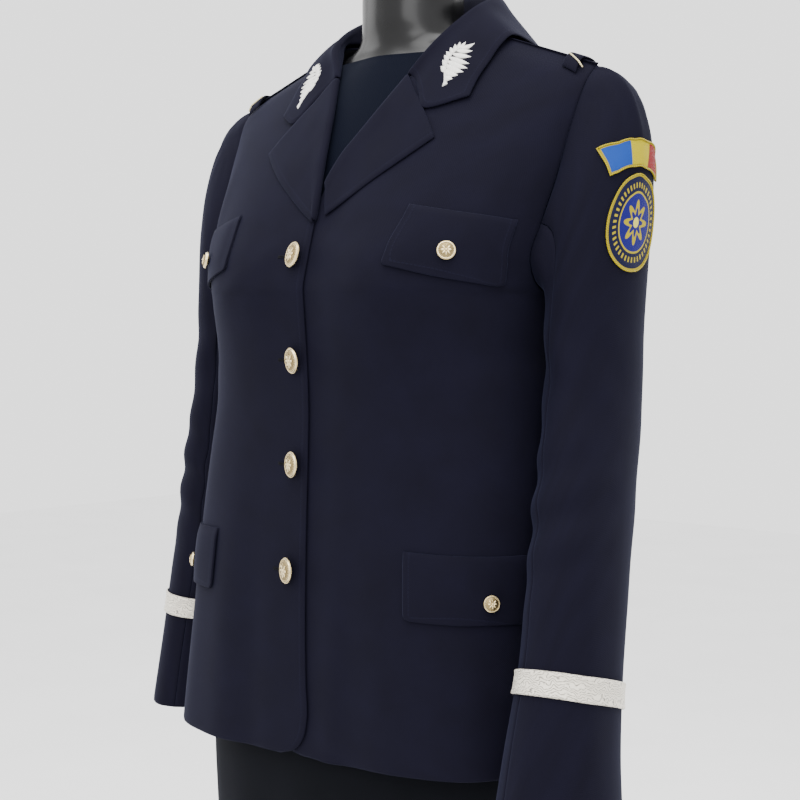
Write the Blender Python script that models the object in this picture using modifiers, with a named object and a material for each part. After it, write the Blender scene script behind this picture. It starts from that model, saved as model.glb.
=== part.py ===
"""A uniform jacket and skirt on a limbless dress form.

Metres, +Z up. The suit faces -Y, the wearer's left side is +X, and the origin is on the floor
under the middle of the form.
"""

import math
from functools import lru_cache

import bpy
import numpy as np
from mathutils import Vector

# Driving dimensions
CLOTH = 0.0020
LAID_CLOTH = 0.0018
SKIRT_CLOTH = 0.0015
SEAM_TRIM = 0.0003
SHOULDER_SEAM_TRIM = 0.0024
SHOULDER_SEAM_DROP = 0.0014
SLEEVE_TRIM = 0.0009
CENTRE_TRIM = 0.0006
ARMHOLE_GAP = 0.0006
NAPE_TRIM = 0.0012
EDGE_STEP = 0.06

JACKET_HEM = 0.789
HEM_TILT = 0.024
UNDERARM = 1.190
CHEST_TOP = 1.205
SIDE_Y = 0.006
NECK_POINT = (0.075, 1.437)
BACK_NECK_HEIGHT = 1.447
SHOULDER_TIP_X = 0.207
SHOULDER_SLOPE = math.radians(20.0)
FRONT_CURVE = (1.1, 1.3)
BACK_CURVE = (3.0, 3.0)
BACK_SQUARENESS = 2.3
BUST_BUMP = 0.011
BUST_PLACE = (0.090, 1.205)
BUST_SPREAD = (0.055, 0.070)
FRONT_OVERLAP_DIP = 0.0031

BUTTON_X = -0.0090
BUTTON_HEIGHTS = (1.226, 1.135, 1.043, 0.950)
BUTTON_RADIUS = 0.0115

POLE_RADIUS = 0.016
BASE_RADIUS = 0.200
BASE_THICKNESS = 0.008
BASE_ROUND = 0.003
FIT_GAP = 0.0004
FORM_BOTTOM = 0.800
NECK_RADIUS = 0.048
NECK_Y = 0.016
NECK_TOP = 1.530

# The worn jacket: height, half width, front depth, back depth, squareness of the front
JACKET_SECTIONS = (
    (0.780, 0.2120, 0.148, 0.114, 3.4),
    (0.828, 0.2080, 0.146, 0.118, 3.3),
    (0.876, 0.2030, 0.144, 0.120, 3.2),
    (0.973, 0.1940, 0.138, 0.119, 3.1),
    (1.046, 0.1850, 0.133, 0.112, 3.0),
    (1.095, 0.1780, 0.131, 0.107, 2.9),
    (1.143, 0.1735, 0.133, 0.108, 2.9),
    (1.190, 0.1755, 0.137, 0.114, 2.9),
    (1.215, 0.1820, 0.138, 0.118, 2.9),
    (1.250, 0.1920, 0.139, 0.122, 2.9),
    (1.290, 0.2000, 0.140, 0.124, 2.9),
    (1.340, 0.2080, 0.140, 0.124, 2.9),
    (1.470, 0.2260, 0.140, 0.124, 2.9),
)

# Edges of the panels, as (x, height). x counts from the centre line toward the panel's own side.
RIGHT_EDGE = ((-0.016, 0.819), (-0.008, 0.950), (-0.003, 1.100), (-0.003, 1.255))
LEFT_EDGE = ((-0.022, 0.810), (-0.022, 1.240))
HEM_CORNER = 0.030
LEFT_ROLL = (
    (-0.022, 1.240), (-0.006, 1.272), (0.004, 1.305), (0.015, 1.332), (0.028, 1.350),
    (0.039, 1.368), (0.0465, 1.388), (0.058, 1.412), (0.075, 1.437),
)
RIGHT_ROLL = (
    (-0.003, 1.255), (0.007, 1.281), (0.013, 1.313), (0.020, 1.342), (0.031, 1.370),
    (0.043, 1.395), (0.057, 1.417), (0.075, 1.437),
)
FRONT_ARMHOLE = (
    (0.1755, 1.190), (0.1785, 1.215), (0.1870, 1.250),
    (0.1950, 1.290), (0.2015, 1.340), (0.2070, 1.389),
)
BACK_ARMHOLE = (
    (0.1755, 1.190), (0.1780, 1.215), (0.1840, 1.250),
    (0.1905, 1.290), (0.1985, 1.340), (0.2070, 1.389),
)

# Heights of the panels' rows below the arm, and turns round the armhole, 0 at the shoulder tip
BODY_HEIGHTS = (
    0.789, 0.793, 0.804, 0.819, 0.855, 0.900, 0.950, 1.000, 1.050, 1.095, 1.143, 1.190,
)
ARM_TURNS = (157.5, 135.0, 112.5, 90.0, 67.5, 45.0, 22.5, 4.4, 0.0)

# Lapels and collar, as (x, height) on the own side
LAPEL_EDGE = (
    (0.000, 1.2545), (0.018, 1.266), (0.037, 1.279), (0.057, 1.293), (0.077, 1.308), (0.099, 1.326),
)
NOTCH = (0.078, 1.353)

# The sleeves: height, x of the middle, y of the middle, half width, half depth
LEFT_SLEEVE = (
    (0.775, 0.2495, -0.1025, 0.0470, 0.0600),
    (0.830, 0.2470, -0.0925, 0.0420, 0.0540),
    (0.880, 0.2440, -0.0790, 0.0385, 0.0500),
    (0.950, 0.2370, -0.0585, 0.0375, 0.0500),
    (1.020, 0.2265, -0.0320, 0.0370, 0.0510),
    (1.100, 0.2160, -0.0040, 0.0360, 0.0530),
    (1.165, 0.2130, 0.0020, 0.0365, 0.0540),
)
RIGHT_SLEEVE = (
    (0.775, 0.2550, -0.0130, 0.0415, 0.0620),
    (0.830, 0.2525, -0.0110, 0.0390, 0.0550),
    (0.880, 0.2490, -0.0085, 0.0380, 0.0500),
    (0.950, 0.2410, -0.0020, 0.0375, 0.0500),
    (1.020, 0.2300, -0.0020, 0.0370, 0.0510),
    (1.100, 0.2170, 0.0000, 0.0360, 0.0530),
    (1.165, 0.2130, 0.0020, 0.0365, 0.0540),
)
CAP_SWELL = 0.26
CAP_DROP = 0.30
CAP_FULLNESS = 1.05
ARMHOLE_MIDDLE = 1.290
CAP_RUNS = (0.0, 0.06, 0.18, 0.35, 0.55, 0.78)
SLEEVE_HEIGHTS = (1.165, 1.120, 1.070, 1.020, 0.970, 0.925, 0.8845, 0.8645, 0.825, 0.775)
SLEEVE_TURNS = (0.0, 4.4, 22.5, 45.0, 67.5, 90.0, 112.5, 135.0, 157.5, 180.0)
UNDER_SLEEVE_FROM = 112.5
SLEEVE_MIDDLE_TOP = 1.250
BRAID_HEIGHTS = (0.8845, 0.8645)
BRAID_LIFT = 0.0022
BRAID_CLOTH = 0.0014

# The marks on the left sleeve, with turns in degrees round the sleeve
MARK_TURN = 12.0
MARK_STOPS = (-1.0, -0.6, -0.2, 0.2, 0.6, 1.0)
PATCH_LIFT = 0.0027
TAB_LIFT = 0.0031
MARK_CLOTH = 0.0012
PATCH_HEIGHT = 1.2515
PATCH_REACH = (38.0, 0.040)
PATCH_STEPS = 8
TAB_LEVELS = ((1.298, 42.0), (1.309, 48.0), (1.320, 54.0))
TAB_BOW = 0.010

# The skirt: height, half width, front depth, back depth
SKIRT_SECTIONS = (
    (0.500, 0.180, 0.122, 0.106),
    (0.640, 0.188, 0.128, 0.108),
    (0.780, 0.196, 0.134, 0.106),
    (0.880, 0.190, 0.127, 0.108),
    (0.960, 0.174, 0.117, 0.105),
    (1.020, 0.158, 0.108, 0.093),
    (1.050, 0.150, 0.103, 0.086),
    (1.080, 0.147, 0.102, 0.083),
)
SKIRT_HEIGHTS = (0.500, 0.570, 0.640, 0.710, 0.780, 0.840, 0.900, 0.960, 1.010, 1.0495)
WAISTBAND_HEIGHTS = (1.050, 1.080)

# The form: height, half width, front depth, back depth
FORM_SECTIONS = (
    (0.800, 0.166, 0.104, 0.092),
    (0.880, 0.172, 0.110, 0.096),
    (0.960, 0.165, 0.107, 0.094),
    (1.020, 0.151, 0.101, 0.086),
    (1.050, 0.1482, 0.1012, 0.0842),
    (1.080, 0.1452, 0.1002, 0.0812),
    (1.100, 0.146, 0.103, 0.083),
)


def curve_value(points, places, at):
    """A smooth curve through points at places, read at one place and held at its ends."""
    places = np.asarray(places, float)
    points = np.asarray(points, float)
    at = min(max(at, places[0]), places[-1])
    slopes = np.gradient(points, places, axis=0)
    k = min(max(int(np.searchsorted(places, at)) - 1, 0), len(places) - 2)
    span = places[k + 1] - places[k]
    t = (at - places[k]) / span
    start, end = points[k], points[k + 1]
    return (
        (2 * t**3 - 3 * t**2 + 1) * start
        + (t**3 - 2 * t**2 + t) * span * slopes[k]
        + (3 * t**2 - 2 * t**3) * end
        + (t**3 - t**2) * span * slopes[k + 1]
    )


def section_at(sections, height):
    """The values of a table of sections at one height."""
    return curve_value([row[1:] for row in sections], [row[0] for row in sections], height)


def edge_x(edge, height):
    """The x of an edge, given as (x, height) points, at one height."""
    return float(curve_value([x for x, _ in edge], [z for _, z in edge], height))


def blend(t):
    t = min(max(t, 0.0), 1.0)
    return t * t * (3.0 - 2.0 * t)


# The worn surface


def shoulder_height(x):
    return NECK_POINT[1] - (abs(x) - NECK_POINT[0]) * math.tan(SHOULDER_SLOPE)


def shoulder_fall(x, z, curve):
    """How far the chest or back still reaches out at height z: 1 at the chest, 0 on the ridge."""
    if z <= CHEST_TOP:
        return 1.0
    climb = min(max((z - CHEST_TOP) / (shoulder_height(x) - CHEST_TOP), 0.0), 1.0)
    bend, rounding = curve
    return (1.0 - climb**bend) ** (1.0 / rounding)


@lru_cache(maxsize=None)
def jacket_section(z):
    return section_at(JACKET_SECTIONS, z)


def torso_point(turn, z):
    """The jacket's outer face at a turn in degrees: 0 centre front, 90 left side, 180 centre back."""
    half_width, front, back, square = jacket_section(z)
    facing_front = abs(turn) <= 90.0
    square = square if facing_front else BACK_SQUARENESS
    angle = math.radians(abs(turn))
    x = half_width * abs(math.sin(angle)) ** (2.0 / square)
    inward = abs(math.cos(angle)) ** (2.0 / square)
    if facing_front:
        off_x = (x - BUST_PLACE[0]) / BUST_SPREAD[0]
        off_z = (z - BUST_PLACE[1]) / BUST_SPREAD[1]
        bump = BUST_BUMP * math.exp(-(off_x**2) - off_z**2) * min(inward * 2.0, 1.0)
        y = SIDE_Y - (front + SIDE_Y) * inward * shoulder_fall(x, z, FRONT_CURVE) - bump
    else:
        y = SIDE_Y + (back - SIDE_Y) * inward * shoulder_fall(x, z, BACK_CURVE)
    return Vector((math.copysign(x, turn), y, z))


def turn_at(x, z, back=False):
    """The turn at which the jacket's face passes x, on the front or on the back."""
    half_width, _, _, square = jacket_section(z)
    square = BACK_SQUARENESS if back else square
    ratio = min(abs(x) / half_width, 1.0)
    turn = math.degrees(math.asin(ratio ** (square / 2.0)))
    return math.copysign(180.0 - turn if back else turn, x)


@lru_cache(maxsize=None)
def cloth_run(z, back):
    """Turns round one half, and the length of cloth from the centre line to each."""
    steps = np.linspace(0.0, 1.0, 81) ** 1.6 * 90.0
    turns = 180.0 - steps if back else steps
    points = np.array([torso_point(turn, z) for turn in turns])
    lengths = np.linalg.norm(np.diff(points, axis=0), axis=1)
    return turns, np.concatenate(([0.0], np.cumsum(lengths)))


def length_at(x, z, back=False):
    """Length of cloth from the centre line out to x, at height z."""
    turns, lengths = cloth_run(round(z, 5), back)
    turn = abs(turn_at(x, z, back))
    order = -1 if back else 1
    return math.copysign(np.interp(turn, turns[::order], lengths[::order]), x)


def turn_after(length, z, back=False):
    """The turn after a length of cloth from the centre line, at height z."""
    turns, lengths = cloth_run(round(z, 5), back)
    return math.copysign(np.interp(abs(length), lengths, turns), length)


# Grids of points on cloth


def whole_places(first, last):
    """The whole numbers strictly between two places."""
    return range(math.floor(first) + 1, math.ceil(last))


def held_between(wholes, start, end):
    """Start, end and the whole numbers between them, those outside held just inside."""
    count = len(wholes)
    held = [
        min(max(whole, start + EDGE_STEP * (k + 1)), end - EDGE_STEP * (count - k))
        for k, whole in enumerate(wholes)
    ]
    return [start, *held, end]


class Sheet:
    """A grid of points on the outer face of cloth. It can be read between its points, and lifted."""

    def __init__(self, rows, inside):
        self.rows = rows
        self.up_steps = len(rows) - 1
        self.across_steps = len(rows[0]) - 1
        self.normals = [
            [self.normal(r, c, inside) for c in range(len(rows[0]))] for r in range(len(rows))
        ]

    def normal(self, r, c, inside):
        rows = self.rows
        left, right = max(c - 1, 0), min(c + 1, self.across_steps)
        low, high = max(r - 1, 0), min(r + 1, self.up_steps)
        across = rows[r][right] - rows[r][left]
        along = rows[high][c] - rows[low][c]
        normal = across.cross(along).normalized()
        return normal if normal.dot(rows[r][c] - inside(rows[r][c])) > 0 else -normal

    def read(self, grid, across, up):
        c = min(max(int(across), 0), self.across_steps - 1)
        r = min(max(int(up), 0), self.up_steps - 1)
        s, t = across - c, up - r
        low = grid[r][c].lerp(grid[r][c + 1], s)
        high = grid[r + 1][c].lerp(grid[r + 1][c + 1], s)
        return low.lerp(high, t)

    def at(self, across, up, lift=0.0):
        return self.read(self.rows, across, up) + self.normal_at(across, up) * lift

    def normal_at(self, across, up):
        return self.read(self.normals, across, up).normalized()

    def up_to(self, across, z):
        """The row place where one column reaches height z."""
        low, high = 0.0, float(self.up_steps)
        rising = self.rows[-1][0].z > self.rows[0][0].z
        for _ in range(24):
            middle = (low + high) / 2
            if (self.read(self.rows, across, middle).z < z) == rising:
                low = middle
            else:
                high = middle
        return (low + high) / 2

    def place(self, x, z):
        """The column and row place of the point (x, z)."""
        low, high = 0.0, float(self.across_steps)
        for _ in range(24):
            middle = (low + high) / 2
            if self.read(self.rows, middle, self.up_to(middle, z)).x < x:
                low = middle
            else:
                high = middle
        across = (low + high) / 2
        return across, self.up_to(across, z)

    def edge_between(self, low, high):
        """Places along the straight edge from one point (x, z) to a higher one, as rows and columns."""
        shares = np.linspace(0.0, 1.0, 9)
        places = [self.place(*(np.array(low) * (1 - t) + np.array(high) * t)) for t in shares]
        return [row for _, row in places], [column for column, _ in places]

    def patch(self, corners, lift, corner):
        """Rows for a piece lying on this sheet, folded where the sheet's own rows and columns fold.

        The corners are points (x, z): low inner, low outer, top inner, top outer. The two low
        corners are cut off by corner, a share of a column.
        """
        low_inner, low_outer, top_inner, top_outer = corners
        inner_rows, inner_columns = self.edge_between(low_inner, top_inner)
        outer_rows, outer_columns = self.edge_between(low_outer, top_outer)
        columns = whole_places(min(inner_columns), max(outer_columns))
        levels = whole_places(min(inner_rows[0], outer_rows[0]), max(inner_rows[-1], outer_rows[-1]))
        inner_ups = held_between(levels, inner_rows[0], inner_rows[-1])
        outer_ups = held_between(levels, outer_rows[0], outer_rows[-1])
        rows = []
        for k, (inner_up, outer_up) in enumerate(zip(inner_ups, outer_ups)):
            cut = corner if k == 0 else 0.0
            start = float(np.interp(inner_up, inner_rows, inner_columns)) + cut
            end = float(np.interp(outer_up, outer_rows, outer_columns)) - cut
            points = []
            for c in held_between(columns, start, end):
                share = (c - start) / (end - start)
                low = inner_rows[0] + (outer_rows[0] - inner_rows[0]) * share
                high = inner_rows[-1] + (outer_rows[-1] - inner_rows[-1]) * share
                points.append(self.at(c, held_between(levels, low, high)[k], lift))
            rows.append(points)
        return rows


def trim(rows, first, last):
    """The rows with their first and last points drawn in along the row."""
    trimmed = []
    for row in rows:
        row = list(row)
        row[0] = row[0] + (row[1] - row[0]).normalized() * first
        row[-1] = row[-1] + (row[-2] - row[-1]).normalized() * last
        trimmed.append(row)
    return trimmed


# Materials and objects


def make_material(name, color, roughness, metallic=0.0):
    material = bpy.data.materials.new(name)
    material.use_nodes = True
    shader = material.node_tree.nodes["Principled BSDF"]
    shader.inputs["Base Color"].default_value = (*color, 1.0)
    shader.inputs["Roughness"].default_value = roughness
    shader.inputs["Metallic"].default_value = metallic
    return material


def add_object(name, mesh, material):
    piece = bpy.data.objects.new(name, mesh)
    mesh.materials.append(material)
    mesh.shade_smooth()
    mesh.set_sharp_from_angle(angle=math.radians(40.0))
    SUIT.objects.link(piece)
    return piece


def cloth_piece(name, rows, material, thickness, inside, side=1, closed=False):
    """One piece of cloth: an open grid whose thickness goes inward. Side -1 makes it the mirrored one."""
    across = len(rows[0])
    steps = across if closed else across - 1
    r, c = len(rows) // 2, across // 2
    r, c = min(r, len(rows) - 2), min(c, across - 2)
    normal = (rows[r][c + 1] - rows[r][c]).cross(rows[r + 1][c] - rows[r][c])
    outward = normal.dot(rows[r][c] - inside(rows[r][c])) > 0
    if side < 0:
        outward = not outward
    faces = []
    for r in range(len(rows) - 1):
        for c in range(steps):
            d = (c + 1) % across
            quad = (r * across + c, r * across + d, (r + 1) * across + d, (r + 1) * across + c)
            faces.append(quad if outward else quad[::-1])
    points = [(side * point.x, point.y, point.z) for row in rows for point in row]
    mesh = bpy.data.meshes.new(name)
    mesh.from_pydata(points, [], faces)
    piece = add_object(name, mesh, material)
    wall = piece.modifiers.new("Cloth", "SOLIDIFY")
    wall.thickness = thickness
    wall.offset = -1.0
    return piece


def loft_piece(name, rings, material):
    """A solid through closed rings, from the lowest to the highest."""
    count = len(rings[0])
    faces = [tuple(range(count))[::-1]]
    for r in range(len(rings) - 1):
        for c in range(count):
            d = (c + 1) % count
            faces.append((r * count + c, r * count + d, (r + 1) * count + d, (r + 1) * count + c))
    faces.append(tuple(range((len(rings) - 1) * count, len(rings) * count)))
    mesh = bpy.data.meshes.new(name)
    mesh.from_pydata([tuple(point) for ring in rings for point in ring], [], faces)
    return add_object(name, mesh, material)


def turned_piece(name, profile, material, location, normal, steps):
    """A turned shape: a profile of (radius, height) from the top centre down its outer side."""
    mesh = bpy.data.meshes.new(name)
    points = [(radius, 0.0, height) for radius, height in profile]
    mesh.from_pydata(points, [(k, k + 1) for k in range(len(points) - 1)], [])
    piece = add_object(name, mesh, material)
    screw = piece.modifiers.new("Turn", "SCREW")
    screw.steps = steps
    screw.render_steps = steps
    screw.use_merge_vertices = True
    screw.merge_threshold = 0.00001
    piece.location = location
    piece.rotation_euler = normal.to_track_quat("Z", "Y").to_euler()
    return piece


def body_axis(point):
    return Vector((0.0, 0.0, min(point.z, 1.30)))


# Jacket panels


def corner_cut(z):
    """How far a front's lower corner is cut back at height z."""
    rise = min(max((JACKET_HEM + HEM_CORNER - z) / HEM_CORNER, 0.0), 1.0)
    return HEM_CORNER * (1.0 - math.sqrt(1.0 - rise**2))


def front_edge_x(side, z):
    edge, roll = (LEFT_EDGE, LEFT_ROLL) if side > 0 else (RIGHT_EDGE, RIGHT_ROLL)
    if z > roll[0][1]:
        return edge_x(roll, z)
    return edge_x(edge, z) + corner_cut(z)


def overlap_dip(side, x, z):
    """The left front lies behind the right one where they overlap."""
    if side < 0:
        return 0.0
    beyond_edge = blend((x - 0.022) / 0.030)
    above_overlap = blend((z - 1.300) / 0.045)
    return FRONT_OVERLAP_DIP * (1.0 - beyond_edge) * (1.0 - above_overlap)


def hem_rise(x, z):
    """The hem hangs a little higher on the wearer's left."""
    return HEM_TILT * x * (1.0 - blend((z - JACKET_HEM) / 0.100))


def front_point(side, turn, z):
    point = torso_point(turn, z)
    point.y += overlap_dip(side, point.x, z)
    point.z += hem_rise(side * point.x, z)
    return point


FRONT_COLUMNS = (0.0, 0.12, 0.24, 0.36, 0.46, 0.54, 0.61, 0.68, 0.75, 0.83, 0.91, 1.0)


def front_rows(side):
    """The outer face of one front, from its edge to the side seam, hem first."""
    rows = []
    for z in BODY_HEIGHTS:
        start = length_at(front_edge_x(side, z), z)
        end = length_at(1.0, z)
        turns = [turn_after(start + (end - start) * c, z) for c in FRONT_COLUMNS]
        rows.append([front_point(side, turn, z) for turn in turns])
    tip_height = shoulder_height(SHOULDER_TIP_X)
    for turn in ARM_TURNS:
        climb = (1.0 + math.cos(math.radians(turn))) / 2.0
        z_in = UNDERARM + (NECK_POINT[1] - UNDERARM) * climb
        z_out = UNDERARM + (tip_height - UNDERARM) * climb
        x_in, x_out = front_edge_x(side, z_in), edge_x(FRONT_ARMHOLE, z_out)
        start, end = length_at(x_in, z_in), length_at(x_out, z_out)
        row = []
        for c in FRONT_COLUMNS:
            z = z_in + (z_out - z_in) * c
            x = torso_point(turn_after(start + (end - start) * c, z), z).x
            z = z_in + (z_out - z_in) * (x - x_in) / (x_out - x_in)
            if c in (0.0, 1.0):
                x, z = (x_in, z_in) if c == 0.0 else (x_out, z_out)
            row.append(front_point(side, turn_at(x, z), z))
        rows.append(row)
    rows[-1] = [point - Vector((0.0, SHOULDER_SEAM_TRIM, SHOULDER_SEAM_DROP)) for point in rows[-1]]
    return rows


BACK_STOPS = (0.0, 0.038, 0.060, 0.075, 0.105, 0.135, 0.165, 0.190)


def back_top_height(x):
    if x >= NECK_POINT[0]:
        return shoulder_height(x)
    share = (x / NECK_POINT[0]) ** 2
    return BACK_NECK_HEIGHT + (NECK_POINT[1] - BACK_NECK_HEIGHT) * share


def back_rows(side):
    """The outer face of one back, from the centre seam to the side, hem first."""
    top = [(x, back_top_height(x)) for x in BACK_STOPS + (SHOULDER_TIP_X,)]
    level = 1.360
    total = length_at(edge_x(BACK_ARMHOLE, level), level, True)
    shares = [length_at(x, level, True) / total for x in BACK_STOPS] + [1.0]
    rows = []
    for z in BODY_HEIGHTS:
        end = length_at(1.0, z, True)
        points = [torso_point(turn_after(end * share, z, True), z) for share in shares]
        rows.append([point + Vector((0.0, 0.0, hem_rise(side * point.x, z))) for point in points])
    for turn in ARM_TURNS:
        climb = (1.0 + math.cos(math.radians(turn))) / 2.0
        z_out = UNDERARM + (top[-1][1] - UNDERARM) * climb
        x_out = edge_x(BACK_ARMHOLE, z_out)
        end = length_at(x_out, z_out, True)
        row = []
        for share, (x_top, z_top) in zip(shares, top):
            z = UNDERARM + (z_top - UNDERARM) * climb
            x = torso_point(turn_after(end * share, z, True), z).x
            x = x + (x_top - x) * climb**8
            x = x_out if share == 1.0 else x
            row.append(torso_point(turn_at(x, z, True), z))
        rows.append(row)
    rows[-1] = [point + Vector((0.0, SHOULDER_SEAM_TRIM / 2, -SHOULDER_SEAM_DROP / 2)) for point in rows[-1]]
    rows = trim(rows, CENTRE_TRIM, SEAM_TRIM)
    for row in rows[-2:]:
        row[0].x = NAPE_TRIM
    return rows


def make_backs():
    for side, word in SIDES:
        cloth_piece(f"back_{word}", back_rows(side), CLOTH_LOOK, CLOTH, body_axis, side)


# Lapels, pockets and buttons, all laid on a front

ROLL_HEIGHTS = {1: (1.290, 1.388), -1: (1.2575, 1.395)}
ROLL_START = {1: 0.115, -1: 0.0}
NOTCH_SHARE = 0.65
ROLL_STEPS = 7
LAPEL_COLUMNS = (0.10, 0.30, 0.55, 0.80, 1.0)
LAPEL_LIFTS = (0.0042, 0.0037, 0.0034, 0.0031, 0.0027)


def lapel_rows(side, sheet):
    """The lapel's outer face: rolled round the front's edge, then laid back on the front."""
    roll_from, roll_to = ROLL_HEIGHTS[side]
    edge_from = ROLL_START[side]
    notch, tip = sheet.place(*NOTCH), sheet.place(*LAPEL_EDGE[-1])
    shares = np.linspace(0.0, 1.0, len(LAPEL_EDGE))
    rows = []
    for k in range(ROLL_STEPS + 1):
        t = k / ROLL_STEPS
        inner = (0.0, sheet.up_to(0.0, roll_from + (roll_to - roll_from) * t))
        x, z = curve_value(LAPEL_EDGE, shares, edge_from + (1.0 - edge_from) * t)
        outer = sheet.place(x, z)
        here = sheet.at(*inner)
        normal = sheet.normal_at(*inner)
        ahead = sheet.at(min(outer[0], 1.0) * 0.3, inner[1]) - here
        away = -(ahead - normal * ahead.dot(normal)).normalized()
        row = [
            here + away * 0.0026 - normal * 0.0016,
            here + away * 0.0036 + normal * 0.0010,
            here + away * 0.0014 + normal * 0.0038,
        ]
        for share, lift in zip(LAPEL_COLUMNS, LAPEL_LIFTS):
            start, end, t = inner, outer, share
            if k == ROLL_STEPS and share < NOTCH_SHARE:
                start, end, t = inner, notch, share / NOTCH_SHARE
            elif k == ROLL_STEPS:
                start, end, t = notch, tip, (share - NOTCH_SHARE) / (1.0 - NOTCH_SHARE)
            place = [a + (b - a) * t for a, b in zip(start, end)]
            row.append(sheet.at(*place, lift))
        rows.append(row)
    return rows


# Corners as (x, height): low inner, low outer, top inner, top outer
FLAPS = {
    "breast": ((0.0925, 1.2165), (0.1680, 1.1990), (0.1000, 1.2670), (0.1778, 1.2535)),
    "lower": ((0.1140, 0.9205), (0.1940, 0.9185), (0.1105, 0.9775), (0.1890, 0.9745)),
}
FLAP_BUTTONS = {"breast": ((0.1400, 1.2262), 0.0078), "lower": ((0.1752, 0.9370), 0.0070)}
FLAP_LIFT = 0.0028
FLAP_BUTTON_LIFT = 0.0034
FLAP_CORNER = 0.22


def button_profile(radius):
    """A domed button on a short shank."""
    return (
        (0.0, 0.0064), (radius * 0.45, 0.0060), (radius * 0.82, 0.0046), (radius, 0.0026),
        (radius * 0.97, 0.0017), (0.0032, 0.0014), (0.0030, 0.0), (0.0, 0.0),
    )


def make_button(name, sheet, place, lift, radius, side):
    location, normal = sheet.at(*place, lift), sheet.normal_at(*place)
    location.x *= side
    normal.x *= side
    turned_piece(name, button_profile(radius), BUTTON_LOOK, location, normal, 16)


def make_front(side, word):
    rows = front_rows(side)
    sheet = Sheet(rows, body_axis)
    cloth_piece(f"front_{word}", trim(rows, 0.0, SEAM_TRIM), CLOTH_LOOK, CLOTH, body_axis, side)
    cloth_piece(f"lapel_{word}", lapel_rows(side, sheet), CLOTH_LOOK, LAID_CLOTH, body_axis, side)
    for name, corners in FLAPS.items():
        rows = sheet.patch(corners, FLAP_LIFT, FLAP_CORNER)
        cloth_piece(f"{name}_flap_{word}", rows, CLOTH_LOOK, LAID_CLOTH, body_axis, side)
    for name, (place, radius) in FLAP_BUTTONS.items():
        make_button(f"{name}_button_{word}", sheet, sheet.place(*place), FLAP_BUTTON_LIFT, radius, side)
    if side < 0:
        for k, height in enumerate(BUTTON_HEIGHTS, 1):
            place = sheet.place(-BUTTON_X, height)
            make_button(f"front_button_{k}", sheet, place, FIT_GAP, BUTTON_RADIUS, side)
    return sheet


# Collar

# Own side first, the other side's leaf standing closer to the neck.
# In front of the shoulder: height of the stand's foot, and the leaf's edge as (x, height)
COLLAR_FRONT = {
    1: ((0.0012, (0.116, 1.362)), (1.408, (0.1165, 1.377)), (1.424, (0.119, 1.394))),
    -1: ((0.0012, (0.102, 1.364)), (1.408, (0.1010, 1.380)), (1.424, (0.102, 1.3985))),
}
# On the shoulder: the stand's foot, the fold, and the leaf's edge
COLLAR_SHOULDER = {
    1: ((0.0705, 0.004, 1.4385), (0.0805, 0.0045, 1.4545), (0.1235, 0.004, 1.4245)),
    -1: ((0.0705, 0.004, 1.4385), (0.0745, 0.0045, 1.4500), (0.1050, 0.004, 1.4312)),
}
# Round the neck: the stand's foot, the fold, and the leaf's edge as (x, height) on the back
COLLAR_BEHIND = {
    1: ((0.0655, 0.0340, 1.4430), (0.0785, 0.0380, 1.4700), (0.1150, 1.4125)),
    -1: ((0.0655, 0.0340, 1.4430), (0.0755, 0.0370, 1.4665), (0.1030, 1.4155)),
}
COLLAR_NAPE = (
    ((0.0500, 0.0530, 1.4460), (0.0590, 0.0650, 1.4790), (0.0830, 1.4170)),
    ((0.0270, 0.0650, 1.4480), (0.0310, 0.0800, 1.4840), (0.0430, 1.4230)),
    ((0.0, 0.0690, 1.4490), (0.0, 0.0845, 1.4860), (0.0, 1.4260)),
)
COLLAR_FRONT_LIFT = 0.0042
COLLAR_BACK_LIFT = 0.0064

# The sprig's place on the collar's own grid, in its columns and rows
SPRIG_COLUMN = 5.55
SPRIG_HALF_WIDTH = 0.67
SPRIG_FROM = 1.1
SPRIG_TO = 4.0
SPRIG_STEPS = 10
SPRIG_LIFT = 0.0016
SPRIG_CLOTH = 0.0010


def on_front(x, z, lift):
    return on_torso(turn_at(x, z), z, lift)


def on_back(x, z, lift):
    return on_torso(turn_at(x, z, True), z, lift)


def on_torso(turn, z, lift):
    here = torso_point(turn, z)
    across = torso_point(min(turn + 0.4, 180.0), z) - torso_point(turn - 0.4, z)
    along = torso_point(turn, z + 0.0005) - torso_point(turn, z - 0.0005)
    return here + across.cross(along).normalized() * lift


def collar_stations(side, sheet):
    """Own side of the collar, front to back: stand foot, fold, leaf edge, and the fold's upward way."""
    roll_end = ROLL_HEIGHTS[side][1]
    up = Vector((0.0, 0.0, 1.0))
    stations = []
    for z, leaf in COLLAR_FRONT[side]:
        z = z if z > 1.0 else roll_end + z
        place = (0.0, sheet.up_to(0.0, z))
        here, normal = sheet.at(*place), sheet.normal_at(*place)
        across = (sheet.at(0.6, place[1]) - here).normalized()
        rise = (z - roll_end) * 0.25
        foot = here - across * 0.0026 - normal * 0.0018
        fold = here - across * (0.0012 - rise * 0.3) + normal * (0.0040 + rise)
        way = (normal + up * rise * 60.0).normalized()
        stations.append((foot, fold, on_front(*leaf, COLLAR_FRONT_LIFT), way))
    stations.append((*(Vector(point) for point in COLLAR_SHOULDER[side]), up))
    for foot, fold, leaf in (COLLAR_BEHIND[side], *COLLAR_NAPE):
        edge = on_back(*leaf, COLLAR_BACK_LIFT)
        edge.x = edge.x if leaf[0] else 0.0
        stations.append((Vector(foot), Vector(fold), edge, up))
    return stations


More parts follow.
